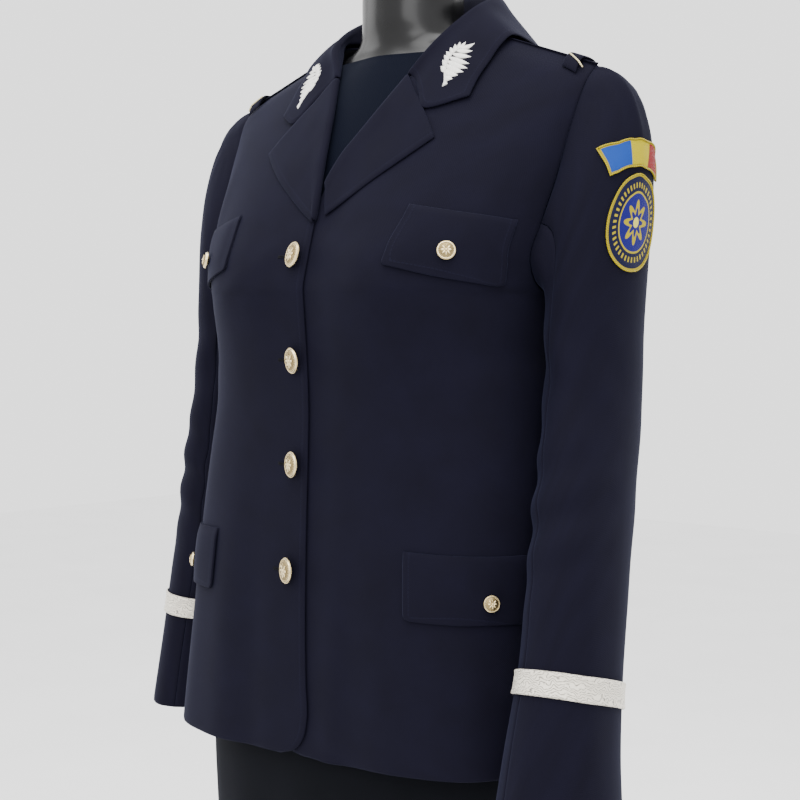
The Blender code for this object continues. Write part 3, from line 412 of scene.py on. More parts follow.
FRONT_COLUMNS = (0.0, 0.12, 0.24, 0.36, 0.46, 0.54, 0.61, 0.68, 0.75, 0.83, 0.91, 1.0)


def front_rows(side):
    """The outer face of one front, from its edge to the side seam, hem first."""
    rows = []
    for z in BODY_HEIGHTS:
        start = length_at(front_edge_x(side, z), z)
        end = length_at(1.0, z)
        turns = [turn_after(start + (end - start) * c, z) for c in FRONT_COLUMNS]
        rows.append([front_point(side, turn, z) for turn in turns])
    tip_height = shoulder_height(SHOULDER_TIP_X)
    for turn in ARM_TURNS:
        climb = (1.0 + math.cos(math.radians(turn))) / 2.0
        z_in = UNDERARM + (NECK_POINT[1] - UNDERARM) * climb
        z_out = UNDERARM + (tip_height - UNDERARM) * climb
        x_in, x_out = front_edge_x(side, z_in), edge_x(FRONT_ARMHOLE, z_out)
        start, end = length_at(x_in, z_in), length_at(x_out, z_out)
        row = []
        for c in FRONT_COLUMNS:
            z = z_in + (z_out - z_in) * c
            x = torso_point(turn_after(start + (end - start) * c, z), z).x
            z = z_in + (z_out - z_in) * (x - x_in) / (x_out - x_in)
            if c in (0.0, 1.0):
                x, z = (x_in, z_in) if c == 0.0 else (x_out, z_out)
            row.append(front_point(side, turn_at(x, z), z))
        rows.append(row)
    rows[-1] = [point - Vector((0.0, SHOULDER_SEAM_TRIM, SHOULDER_SEAM_DROP)) for point in rows[-1]]
    return rows


# The columns' shares are taken over the shoulder blades
BLADE_HEIGHT = 1.360
BACK_STOPS = (0.0, 0.038, 0.060, 0.075, 0.105, 0.135, 0.165, 0.190)


def back_top_height(x):
    if x >= NECK_POINT[0]:
        return shoulder_height(x)
    share = (x / NECK_POINT[0]) ** 2
    return BACK_NECK_HEIGHT + (NECK_POINT[1] - BACK_NECK_HEIGHT) * share


def back_rows(side):
    """The outer face of one back, from the centre seam to the side, hem first."""
    top = [(x, back_top_height(x)) for x in BACK_STOPS + (SHOULDER_TIP_X,)]
    total = length_at(edge_x(BACK_ARMHOLE, BLADE_HEIGHT), BLADE_HEIGHT, True)
    shares = [length_at(x, BLADE_HEIGHT, True) / total for x in BACK_STOPS] + [1.0]
    rows = []
    for z in BODY_HEIGHTS:
        end = length_at(1.0, z, True)
        points = [torso_point(turn_after(end * share, z, True), z) for share in shares]
        rows.append([point + Vector((0.0, 0.0, hem_rise(side * point.x, z))) for point in points])
    for turn in ARM_TURNS:
        climb = (1.0 + math.cos(math.radians(turn))) / 2.0
        z_out = UNDERARM + (top[-1][1] - UNDERARM) * climb
        x_out = edge_x(BACK_ARMHOLE, z_out)
        end = length_at(x_out, z_out, True)
        row = []
        for share, (x_top, z_top) in zip(shares, top):
            z = UNDERARM + (z_top - UNDERARM) * climb
            x = torso_point(turn_after(end * share, z, True), z).x
            x = x + (x_top - x) * climb**8
            x = x_out if share == 1.0 else x
            row.append(torso_point(turn_at(x, z, True), z))
        rows.append(row)
    rows[-1] = [point + Vector((0.0, SHOULDER_SEAM_TRIM / 2, -SHOULDER_SEAM_DROP / 2)) for point in rows[-1]]
    rows = trim(rows, CENTRE_TRIM, SEAM_TRIM)
    for row in rows[-2:]:
        row[0].x = NAPE_TRIM
    return rows


# Lapels, flaps and buttons, all laid on a front

ROLL_HEIGHTS = {1: (1.290, 1.388), -1: (1.2575, 1.395)}
ROLL_START = {1: 0.115, -1: 0.0}
NOTCH_SHARE = 0.65
ROLL_STEPS = 7
LAPEL_COLUMNS = (0.10, 0.30, 0.55, 0.80, 1.0)
LAPEL_LIFTS = (0.0042, 0.0037, 0.0034, 0.0031, 0.0027)


def lapel_rows(side, sheet):
    """The lapel's outer face: rolled round the front's edge, then laid back on the front."""
    roll_from, roll_to = ROLL_HEIGHTS[side]
    edge_from = ROLL_START[side]
    notch, tip = sheet.place(*NOTCH), sheet.place(*LAPEL_EDGE[-1])
    shares = np.linspace(0.0, 1.0, len(LAPEL_EDGE))
    rows = []
    for k in range(ROLL_STEPS + 1):
        t = k / ROLL_STEPS
        inner = (0.0, sheet.up_to(0.0, roll_from + (roll_to - roll_from) * t))
        x, z = curve_value(LAPEL_EDGE, shares, edge_from + (1.0 - edge_from) * t)
        outer = sheet.place(x, z)
        here = sheet.at(*inner)
        normal = sheet.normal_at(*inner)
        ahead = sheet.at(min(outer[0], 1.0) * 0.3, inner[1]) - here
        away = -(ahead - normal * ahead.dot(normal)).normalized()
        row = [
            here + away * 0.0026 - normal * 0.0016,
            here + away * 0.0036 + normal * 0.0010,
            here + away * 0.0014 + normal * 0.0038,
        ]
        for share, lift in zip(LAPEL_COLUMNS, LAPEL_LIFTS):
            start, end, t = inner, outer, share
            if k == ROLL_STEPS and share < NOTCH_SHARE:
                start, end, t = inner, notch, share / NOTCH_SHARE
            elif k == ROLL_STEPS:
                start, end, t = notch, tip, (share - NOTCH_SHARE) / (1.0 - NOTCH_SHARE)
            place = [a + (b - a) * t for a, b in zip(start, end)]
            row.append(sheet.at(*place, lift))
        rows.append(row)
    return rows


# Corners as (x, height): low inner, low outer, top inner, top outer
FLAPS = {
    "breast": ((0.0925, 1.2165), (0.1680, 1.1990), (0.1000, 1.2670), (0.1778, 1.2535)),
    "lower": ((0.1140, 0.9205), (0.1940, 0.9185), (0.1105, 0.9775), (0.1890, 0.9745)),
}
FLAP_BUTTONS = {"breast": ((0.1400, 1.2262), 0.0078), "lower": ((0.1752, 0.9370), 0.0070)}
FLAP_LIFT = 0.0028
FLAP_BUTTON_LIFT = 0.0034


# Collar

# Own side first, the other side's leaf standing closer to the neck.
# In front of the shoulder: height of the stand's foot, and the leaf's edge as (x, height)
COLLAR_FRONT = {
    1: ((0.0012, (0.116, 1.362)), (1.408, (0.1165, 1.377)), (1.424, (0.119, 1.394))),
    -1: ((0.0012, (0.102, 1.364)), (1.408, (0.1010, 1.380)), (1.424, (0.102, 1.3985))),
}
# On the shoulder: the stand's foot, the fold, and the leaf's edge
COLLAR_SHOULDER = {
    1: ((0.0705, 0.004, 1.4385), (0.0805, 0.0045, 1.4545), (0.1235, 0.004, 1.4245)),
    -1: ((0.0705, 0.004, 1.4385), (0.0745, 0.0045, 1.4500), (0.1050, 0.004, 1.4312)),
}
# Round the neck: the stand's foot, the fold, and the leaf's edge as (x, height) on the back
COLLAR_BEHIND = {
    1: ((0.0655, 0.0340, 1.4430), (0.0785, 0.0380, 1.4700), (0.1150, 1.4125)),
    -1: ((0.0655, 0.0340, 1.4430), (0.0755, 0.0370, 1.4665), (0.1030, 1.4155)),
}
COLLAR_NAPE = (
    ((0.0500, 0.0530, 1.4460), (0.0590, 0.0650, 1.4790), (0.0830, 1.4170)),
    ((0.0270, 0.0650, 1.4480), (0.0310, 0.0800, 1.4840), (0.0430, 1.4230)),
    ((0.0, 0.0690, 1.4490), (0.0, 0.0845, 1.4860), (0.0, 1.4260)),
)
COLLAR_FRONT_LIFT = 0.0042
COLLAR_BACK_LIFT = 0.0064
NOTCH_GAP = 0.0012
NOTCH_LIFT = 0.0034
# The sprig's place on the collar's own grid, in its columns and rows
SPRIG_COLUMN = 5.55
SPRIG_ROW = 2.55


def on_jacket(x, z, lift, back=False):
    """A point lifted square off the jacket's outer face."""
    turn = turn_at(x, z, back)
    across = torso_point(min(turn + 0.4, 180.0), z) - torso_point(turn - 0.4, z)
    along = torso_point(turn, z + 0.0005) - torso_point(turn, z - 0.0005)
    return torso_point(turn, z) + across.cross(along).normalized() * lift


def collar_stations(side, sheet):
    """Own side of the collar, front to back: stand foot, fold, leaf edge, and the fold's upward way."""
    roll_end = ROLL_HEIGHTS[side][1]
    stations = []
    for z, leaf in COLLAR_FRONT[side]:
        z = z if z > 1.0 else roll_end + z
        place = (0.0, sheet.up_to(0.0, z))
        here, normal = sheet.at(*place), sheet.normal_at(*place)
        across = (sheet.at(0.6, place[1]) - here).normalized()
        rise = (z - roll_end) * 0.25
        foot = here - across * 0.0026 - normal * 0.0018
        fold = here - across * (0.0012 - rise * 0.3) + normal * (0.0040 + rise)
        way = (normal + UPWARD * rise * 60.0).normalized()
        stations.append((foot, fold, on_jacket(*leaf, COLLAR_FRONT_LIFT), way))
    stations.append((*(Vector(point) for point in COLLAR_SHOULDER[side]), UPWARD))
    for foot, fold, leaf in (COLLAR_BEHIND[side], *COLLAR_NAPE):
        edge = on_jacket(*leaf, COLLAR_BACK_LIFT, True)
        edge.x = edge.x if leaf[0] else 0.0
        stations.append((Vector(foot), Vector(fold), edge, UPWARD))
    return stations


def collar_row(foot, fold, edge, way):
    """One cross-section of the collar: up the stand, over the fold and down the leaf."""
    out = edge - foot
    out = (out - way * out.dot(way)).normalized()
    inner = fold - out * 0.0028 - way * 0.0028
    outer = fold + out * 0.0032 - way * 0.0020
    stand = foot.lerp(inner, 0.5)
    swell = way * 0.0012
    leaf = [outer.lerp(edge, share) + swell for share in (0.33, 0.67)]
    return [foot, stand, inner, fold, outer, *leaf, edge]


def smooth_rows(rows, between):
    """More rows on smooth curves through the given ones."""
    places = list(range(len(rows)))
    columns = [[tuple(row[c]) for row in rows] for c in range(len(rows[0]))]
    return [
        [Vector(curve_value(column, places, k / between)) for column in columns]
        for k in range((len(rows) - 1) * between + 1)
    ]


def collar_rows(side, sheet):
    rows = [collar_row(*station) for station in collar_stations(side, sheet)]
    front, tip = rows[0], rows[0][-1]
    notch = sheet.at(*sheet.place(NOTCH[0], NOTCH[1] + NOTCH_GAP), NOTCH_LIFT)
    rows[0] = front[:5] + [front[4].lerp(notch, 0.5), notch, tip]
    return smooth_rows(rows, 2)


# Sleeves

def armhole_point(turn):
    """The armhole on the own side: 0 at the shoulder tip, 90 in front, 180 under the arm."""
    tip_height = shoulder_height(SHOULDER_TIP_X)
    z = UNDERARM + (tip_height - UNDERARM) * (1.0 + math.cos(math.radians(turn))) / 2.0
    back = turn < 0
    x = edge_x(BACK_ARMHOLE if back else FRONT_ARMHOLE, z)
    return torso_point(turn_at(x, z, back), z)


def sleeve_axis(sections, z):
    x, y, half_width, half_depth = section_at(sections, z)
    step = 0.01
    above, below = section_at(sections, z + step), section_at(sections, z - step)
    lean = (above[:2] - below[:2]) / (2 * step)
    return x, y, half_width, half_depth, lean[0], lean[1]


def sleeve_ring_point(sections, turn, z):
    """The sleeve below the arm, on a ring square to the sleeve."""
    x, y, half_width, half_depth, lean_x, lean_y = sleeve_axis(sections, z)
    angle = math.radians(turn)
    dx, dy = half_width * math.cos(angle), -half_depth * math.sin(angle)
    return Vector((x + dx, y + dy, z - dx * lean_x - dy * lean_y))


def sleeve_cap_point(sections, turn, run):
    """The sleeve head, run 0 at the armhole and 1 at the first ring."""
    toward_top = max(math.cos(math.radians(turn)), 0.0)
    start = armhole_point(turn) + Vector((ARMHOLE_GAP * (1.0 + 2.0 * toward_top), 0.0, 0.0))
    top = SLEEVE_HEIGHTS[0]
    end = sleeve_ring_point(sections, turn, top)
    _, _, _, _, lean_x, lean_y = sleeve_axis(sections, top)
    reach = (end - start).length
    radial = Vector((0.0, start.y - SIDE_Y, start.z - ARMHOLE_MIDDLE)).normalized()
    swell = CAP_SWELL * (1.0 - toward_top) - CAP_DROP * toward_top
    leaving = (Vector((1.0, 0.0, 0.0)) + radial * swell).normalized() * reach * CAP_FULLNESS
    arriving = Vector((-lean_x, -lean_y, -1.0)).normalized() * reach * CAP_FULLNESS
    return hermite(run, 1.0, start, end, leaving, arriving)


def sleeve_rows(sections, turns):
    rows = [[sleeve_cap_point(sections, turn, run) for turn in turns] for run in CAP_RUNS]
    rows += [[sleeve_ring_point(sections, turn, z) for turn in turns] for z in SLEEVE_HEIGHTS]
    return rows


# Shoulder loops

LOOP_XS = (0.182, 0.189, 0.196)
LOOP_YS = (-0.006, 0.0, 0.006, 0.012, 0.017, 0.022, 0.028)
LOOP_LIFT = 0.0042
LOOP_CLOTH = 0.0014


def shoulder_level(x, y):
    """The height of the cloth over the shoulder at (x, y)."""
    back = y > SIDE_Y

    def further_out(z):
        return abs(torso_point(turn_at(x, z, back), z).y - SIDE_Y) > abs(y - SIDE_Y)

    return halving(CHEST_TOP, shoulder_height(x), further_out)


def shoulder_at(x, y, lift):
    """A point over the shoulder, lifted square to the cloth."""
    step = 0.005
    slope = (shoulder_level(x, y + step) - shoulder_level(x, y - step)) / (2 * step)
    normal = Vector((math.tan(SHOULDER_SLOPE), -slope, 1.0)).normalized()
    return Vector((x, y, shoulder_level(x, y))) + normal * lift


# Skirt and form: turns round one half
FORM_STEPS = 6
FORM_SIDE_TURN = 86.0
HALF_TURNS = [FORM_SIDE_TURN * k / FORM_STEPS for k in range(-FORM_STEPS, FORM_STEPS + 1)]


def oval_point(sections, turn, z):
    half_width, front, back = section_at(sections, z)
    angle = math.radians(turn)
    power = 2.0 / BACK_SQUARENESS
    x = half_width * math.copysign(abs(math.sin(angle)) ** power, math.sin(angle))
    inward = abs(math.cos(angle)) ** power
    y = -front * inward if math.cos(angle) > 0 else back * inward
    return Vector((x, y, z))


# Dress form

FORM_LOW_HEIGHTS = (0.800, 0.880, 0.960, 1.020, 1.050, 1.080)
FORM_HIGH_HEIGHTS = (
    1.120, 1.160, 1.200, 1.250, 1.300, 1.340, 1.370, 1.388, 1.404, 1.418, 1.432, 1.445, 1.465,
)
# The form's share of the jacket's size, with its height
FORM_EASE = (
    (0.84, 1.100), (0.87, 1.143), (0.90, 1.190), (0.925, 1.250),
    (0.935, 1.300), (0.940, 1.350), (0.950, 1.400), (0.960, 1.440),
)
FORM_DROP = 0.0030
FORM_TOP_LEVEL = 1.455


def form_ring(z):
    """One ring of the form: an oval at the hips, the jacket's own shape drawn in, then the round neck."""
    if z <= FORM_SECTIONS[-1][0]:
        turns = HALF_TURNS + [180.0 + turn for turn in HALF_TURNS]
        return [oval_point(FORM_SECTIONS, turn, z) for turn in turns]
    drawn_in = edge_x(FORM_EASE, z)
    level = min(z + FORM_DROP, FORM_TOP_LEVEL)
    ridge_x = NECK_POINT[0] + (NECK_POINT[1] - level) / math.tan(SHOULDER_SLOPE)
    ring = []
    for back, armhole in ((False, FRONT_ARMHOLE), (True, BACK_ARMHOLE)):
        limit = FORM_SIDE_TURN
        if z > UNDERARM:
            widest = min(edge_x(armhole, level) * 0.985, ridge_x * 0.99)
            limit = min(abs(turn_at(widest, level)), FORM_SIDE_TURN)
        half = []
        for turn in HALF_TURNS:
            turn = turn * limit / FORM_SIDE_TURN
            point = torso_point(math.copysign(180.0 - abs(turn), turn) if back else turn, level)
            half.append(Vector((point.x * drawn_in, SIDE_Y + (point.y - SIDE_Y) * drawn_in, z)))
        ring += half[::-1] if back else half
    necked = ease(z, 1.400, 1.445)
    count = len(HALF_TURNS)
    for k, point in enumerate(ring):
        turn = math.radians(-90.0 + 180.0 * (k % count + 0.5) / count)
        reach = NECK_RADIUS if k < count else -NECK_RADIUS
        around = Vector((reach * math.sin(turn), NECK_Y - reach * math.cos(turn), z))
        ring[k] = point.lerp(around, necked)
    return ring


SIDES = ((1, "left"), (-1, "right"))


# Fine cloth, read between the cut's rows

FINE_STEP = 0.0045
ROOT = "root"


def unit(vectors):
    return vectors / np.maximum(np.linalg.norm(vectors, axis=-1, keepdims=True), 1e-12)


def run_lengths(points, axis):
    """Mean length of cloth up to each column (axis 1) or each row (axis 0)."""
    steps = np.linalg.norm(np.diff(points, axis=axis), axis=2).mean(axis=1 - axis)
    return np.concatenate(([0.0], np.cumsum(steps)))


class FineCloth:
    """A smooth surface through rows of points, read at any place between its columns and rows."""

    def __init__(self, rows, inside, closed=False):
        points = np.array([[tuple(point) for point in row] for row in rows])
        self.columns, self.rows = points.shape[1] - 1, points.shape[0] - 1
        self.lead = 2 if closed else 0
        if closed:
            points = np.concatenate((points[:, -2:], points, points[:, :3]), axis=1)
            self.columns += 1
        self.points = points
        self.across, self.up = run_lengths(points, 1), run_lengths(points, 0)
        self.across_slope = np.gradient(points, self.across, axis=1)
        self.up_slope = np.gradient(points, self.up, axis=0)
        self.twist = np.gradient(self.across_slope, self.up, axis=0)
        self.sign = 1.0
        middle = (self.columns / 2, self.rows / 2)
        here = self.point(*middle)
        outward = here - np.array(inside(Vector(here)))
        if np.dot(self.normal(*middle), outward) < 0:
            self.sign = -1.0

    def point(self, across, up):
        across, up = np.broadcast_arrays(np.asarray(across, float) + self.lead, np.asarray(up, float))
        c = np.clip(across.astype(int), 0, self.points.shape[1] - 2)
        r = np.clip(up.astype(int), 0, self.rows - 1)
        s, t = (across - c)[..., None], (up - r)[..., None]
        wide = (self.across[c + 1] - self.across[c])[..., None]
        tall = (self.up[r + 1] - self.up[r])[..., None]

        def along(values, slopes, row):
            return hermite(s, wide, values[row, c], values[row, c + 1], slopes[row, c], slopes[row, c + 1])

        low, high = (along(self.points, self.across_slope, row) for row in (r, r + 1))
        rise, fall = (along(self.up_slope, self.twist, row) for row in (r, r + 1))
        return hermite(t, tall, low, high, rise, fall)

    def normal(self, across, up):
        near = 0.05
        across = np.asarray(across, float)
        if not self.lead:
            across = np.clip(across, near, self.columns - near)
        up = np.clip(np.asarray(up, float), near, self.rows - near)
        sideways = self.point(across + near, up) - self.point(across - near, up)
        upward = self.point(across, up + near) - self.point(across, up - near)
        return unit(np.cross(sideways, upward)) * self.sign

    def stops(self, step=FINE_STEP):
        """Even column and row places over the whole cloth."""
        lengths = []
        for run, count in ((self.across, self.columns), (self.up, self.rows)):
            run = run[self.lead:self.lead + count + 1] if run is self.across else run
            run = run - run[0]
            pieces = max(2, round(run[-1] / step))
            lengths.append(np.interp(np.linspace(0.0, run[-1], pieces + 1), run, np.arange(count + 1)))
        return lengths

    def grid(self, across, up, lift=0.0):
        """Points and normals over a whole grid of places."""
        across, up = np.meshgrid(across, up)
        normals = self.normal(across, up)
        lift = np.asarray(lift)[..., None] if np.ndim(lift) else lift
        return self.point(across, up) + normals * lift, normals


def mirrored(rows, side):
    return [[Vector((side * point.x, point.y, point.z)) for point in row] for row in rows]


# Folds, as small moves of every layer that lies there

def bump(value, centre, reach):
    return np.exp(-(((value - centre) / reach) ** 2))


def torso_folds(points):
    """The body of the jacket: soft flutes to the hem, drag at the waist and by the arms."""
    x, y, z = points[..., 0], points[..., 1], points[..., 2]
    turn = np.arctan2(x, -(y - SIDE_Y))
    below_waist = ease(z, 1.08, 0.86)
    flutes = 0.0016 * np.sin(9.0 * turn + 0.6) + 0.0009 * np.sin(17.0 * turn + 2.0 + 3.0 * z)
    keep_front = ease(np.abs(x), 0.02, 0.06) * (y < SIDE_Y) + (y >= SIDE_Y)
    waist = 0.0011 * bump(z, 1.118, 0.016) - 0.0011 * bump(z, 1.142, 0.014)
    at_side = ease(np.abs(turn), 0.75, 1.15) * ease(-np.abs(turn), -2.5, -1.9)
    drag_line = (z - 1.222) + 0.62 * (np.abs(x) - 0.05)
    drag = 0.0010 * bump(drag_line, 0.0, 0.012) * bump(np.abs(x), 0.055, 0.035) * (y < 0)
    arm_line = np.abs(x) - (0.158 + 0.10 * (z - 1.26))
    arm = 0.0022 * bump(arm_line, 0.0, 0.012) * bump(z, 1.275, 0.050)
    blades = 0.0030 * bump(np.abs(x), 0.085, 0.040) * bump(z, 1.300, 0.060) * (y > SIDE_Y)
    rise = below_waist * flutes * keep_front + waist * at_side + drag + arm + blades
    outward = unit(np.stack((x, y - SIDE_Y, np.zeros_like(x)), axis=-1))
    return points + outward * rise[..., None]


def sleeve_folds(points, sections, side):
    """One sleeve: slanting folds inside the elbow and a little ease at the sleeve head."""
    x, y, z = side * points[..., 0], points[..., 1], points[..., 2]
    heights = np.array([row[0] for row in sections])
    middle_x = np.interp(z, heights, [row[1] for row in sections])
    middle_y = np.interp(z, heights, [row[2] for row in sections])
    turn = np.arctan2(-(y - middle_y), x - middle_x)
    slant = z + 0.020 * turn
    front = np.clip(np.cos(turn - 1.9), 0.0, 1.0) ** 0.7
    elbow = 0.0022 * np.sin(slant * math.tau / 0.042) * bump(z, 1.015, 0.052) * front
    upper = 0.0014 * np.sin((z - 0.035 * turn) * math.tau / 0.060 + 1.0) * bump(z, 1.130, 0.050) * front
    long_fold = 0.0020 * bump(turn, 0.9 + 3.0 * (z - 0.95), 0.34)
    long_fold = long_fold * ease(z, 0.78, 0.86) * ease(-z, -1.16, -1.04)
    head = 0.0007 * np.cos(15.0 * turn) * ease(z, 1.300, 1.345) * ease(-z, -1.395, -1.365)
    ripple = np.sin((z + 0.012 * turn) * math.tau / 0.075)
    back = 0.0018 * bump(turn, -1.5, 0.5) * ripple * bump(z, 1.02, 0.07)
    rise = elbow + upper + long_fold + head + back
    outward = unit(np.stack((side * (x - middle_x), y - middle_y, np.zeros_like(x)), axis=-1))
    return points + outward * rise[..., None]


# Meshes

def new_piece(name, vertices, faces, looks, **layers):
    """A mesh piece with its finishes. Each layer of the cloth's own map has a value for every vertex."""
    mesh = bpy.data.meshes.new(name)
    mesh.from_pydata(np.asarray(vertices).tolist(), [], faces)
    corners = np.zeros(len(mesh.loops), dtype=int)
    mesh.loops.foreach_get("vertex_index", corners)
    for layer, values in layers.items():
        mesh.uv_layers.new(name=layer).data.foreach_set("uv", np.asarray(values)[corners].ravel())
    for look in looks:
        mesh.materials.append(look)
    mesh.shade_smooth()
    piece = bpy.data.objects.new(name, mesh)
    bpy.context.scene.collection.objects.link(piece)
    return piece


def ride(piece, slot_name, *nodes):
    """The piece rides with the suit and stands for its solids."""
    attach(piece, ROOT)
    if nodes:
        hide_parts(*nodes)


def grid_faces(rows, columns, closed=False):
    """The faces of a grid of points. A closed one also joins its last column to its first."""
    faces = []
    for r in range(rows - 1):
        for c in range(columns if closed else columns - 1):
            d = (c + 1) % columns
            faces.append([r * columns + c, r * columns + d, (r + 1) * columns + d, (r + 1) * columns + c])
    return faces


def turned(faces, flip):
    return [face[::-1] for face in faces] if flip else faces


def border_walk(rows, columns):
    """Places round the edge of a grid, in order."""
    walk = [(0, c) for c in range(columns)]
    walk += [(r, columns - 1) for r in range(1, rows)]
    walk += [(rows - 1, c) for c in range(columns - 2, -1, -1)]
    walk += [(r, 0) for r in range(rows - 2, 0, -1)]
    return walk


def edge_runs(points):
    """Length of cloth from each place to the four edges of its grid."""
    across = np.linalg.norm(np.diff(points, axis=1), axis=2)
    up = np.linalg.norm(np.diff(points, axis=0), axis=2)
    first = np.concatenate((np.zeros((len(points), 1)), np.cumsum(across, axis=1)), axis=1)
    low = np.concatenate((np.zeros((1, points.shape[1])), np.cumsum(up, axis=0)), axis=0)
    return {"first": first, "last": first[:, -1:] - first, "low": low, "high": low[-1:] - low}


def stitch_map(points, stitched):
    """Distance in from the nearest stitched edge, and length along that edge."""
    runs = edge_runs(points)
    inward, along = np.full(points.shape[:2], 0.5), np.zeros(points.shape[:2])
    for edge in stitched:
        nearer = runs[edge] < inward
        inward = np.where(nearer, runs[edge], inward)
        along = np.where(nearer, runs["low" if edge in ("first", "last") else "first"], along)
    return inward, along, runs


def cloth_wall(name, points, normals, thickness, looks, stitched=(), closed=False, tuck=0.0, plan=None):
    """A wall of cloth with turned edges. Its outer face is given, and its inner face takes the second look.

    A tuck pushes the first row on under the cloth it is sewn to. A plan takes the place of the
    lengths along the cloth in its map.
    """
    points = points.copy()
    rows, columns = points.shape[:2]
    turned_in, drop = thickness * 0.35, thickness * 0.18
    inward, along, runs = stitch_map(points, stitched)
    every = slice(None)
    borders = [((0, every), (1, every)), ((-1, every), (-2, every))]
    if not closed:
        borders += [((every, 0), (every, 1)), ((every, -1), (every, -2))]
    away = np.zeros_like(points)
    for border, neighbour in borders:
        away[border] += unit(points[border] - points[neighbour])
    away = unit(away)
    edge = np.linalg.norm(away, axis=-1) > 0.5
    points[edge] -= away[edge] * turned_in + normals[edge] * drop
    points[0] += unit(points[0] - points[1]) * tuck - normals[0] * tuck * 0.3
    inner = points - normals * (thickness - np.where(edge, drop, 0.0))[..., None]
    middle = (points + inner) / 2 + away * thickness * 0.45
    count = rows * columns
    across = points[1, 1] - points[1, 0]
    upward = points[2 if rows > 2 else 1, 1] - points[1 if rows > 2 else 0, 1]
    same_way = np.dot(np.cross(across, upward), normals[1, 1]) > 0
    outer_faces = grid_faces(rows, columns, closed)
    inner_faces = [[corner + count for corner in face] for face in outer_faces]
    faces = turned(outer_faces, not same_way) + turned(inner_faces, same_way)
    rims = [border_walk(rows, columns)]
    if closed:
        rims = [[(row, c) for c in range(columns)] for row in (0, rows - 1)]
    base = count * 2
    for k, rim in enumerate(rims):
        for j, (r, c) in enumerate(rim):
            following = (j + 1) % len(rim)
            a, b = r * columns + c, rim[following][0] * columns + rim[following][1]
            m, n = base + j, base + following
            flip = same_way if k == 0 else not same_way
            faces += turned([[a, b, n, m], [m, n, b + count, a + count]], flip)
        base += len(rim)
    rim_places = [place for rim in rims for place in rim]
    vertices = [*points.reshape(-1, 3), *inner.reshape(-1, 3), *(middle[place] for place in rim_places)]
    on_rim = [r * columns + c for r, c in rim_places]
    lookup = np.concatenate((np.arange(count), np.arange(count), on_rim)).astype(int)
    if plan is None:
        plan = np.stack((runs["first"], runs["low"]), axis=-1)
    seam = np.stack((inward, along), axis=-1)
    piece = new_piece(
        name, vertices, faces, looks, cloth=plan.reshape(-1, 2)[lookup], stitch=seam.reshape(-1, 2)[lookup])
    uses = np.zeros(len(faces), dtype=int)
    uses[len(outer_faces):2 * len(outer_faces)] = len(looks) - 1
    piece.data.polygons.foreach_set("material_index", uses)
    return piece


def nearest_on(path, spots):
    """The nearest place on a path for each spot."""
    start, step = path[:-1], np.diff(path, axis=0)
    share = np.sum((spots[:, None] - start) * step, axis=2) / np.maximum(np.sum(step * step, axis=1), 1e-12)
    places = start + step * np.clip(share, 0.0, 1.0)[..., None]
    pick = np.argmin(np.linalg.norm(places - spots[:, None], axis=2), axis=1)
    return places[np.arange(len(spots)), pick]


def sew_row(points, row, path, reach):
    """Moves one end row of a grid onto a seam, and eases the cloth beside it along."""
    shift = nearest_on(path, points[row]) - points[row]
    away = edge_runs(points)["low" if row == 0 else "high"]
    return points + shift[None] * (1.0 - ease(away, 0.0, reach))[..., None]


def sew(name, cloth, thickness, looks, slot_name, rests_on, nodes, held="draped", **wall):
    """A cloth piece joins the suit."""
    piece = cloth_wall(name, *cloth, thickness, looks, **wall)
    ride(piece, slot_name, *nodes)


# Finishes

def linear(code):
    """An sRGB hex colour as linear light."""
    parts = [int(code[k:k + 2], 16) / 255.0 for k in (1, 3, 5)]
    return tuple(c / 12.92 if c <= 0.04045 else ((c + 0.055) / 1.055) ** 2.4 for c in parts) + (1.0,)


def set_inputs(look, node, inputs):
    """Sets a node's inputs, given by name or in order: a socket is linked, a hex code is a colour."""
    for key, value in inputs.items() if isinstance(inputs, dict) else enumerate(inputs):
        if isinstance(value, bpy.types.NodeSocket):
            look.node_tree.links.new(value, node.inputs[key])
        else:
            node.inputs[key].default_value = linear(value) if isinstance(value, str) else value


def add_node(look, kind, inputs=(), out=0, **settings):
    """Adds a node with its settings and links, and gives one of its outputs."""
    node = look.node_tree.nodes.new("ShaderNode" + kind)
    for key, value in settings.items():
        setattr(node, key, value)
    set_inputs(look, node, inputs)
    return node.outputs[out]


def new_look(name, constants):
    """A new look, its shader, and the adding of nodes to it."""
    look = bpy.data.materials.new(name)
    look.use_nodes = True
    shader = look.node_tree.nodes["Principled BSDF"]
    set_inputs(look, shader, constants)
    return look, shader, partial(add_node, look)


# A range node's inputs are the value, where it starts and ends, and what it gives there
SMOOTH = {"interpolation_type": "SMOOTHSTEP"}
FALLING = (1.0, 0.0)
TIMES = {"operation": "MULTIPLY"}
# The first two inputs multiplied, and the third added
FUSED = {"operation": "MULTIPLY_ADD"}
# A mix node's share is input 0, and its two colours are inputs 6 and 7
COLOURS = {"out": 2, "data_type": "RGBA"}


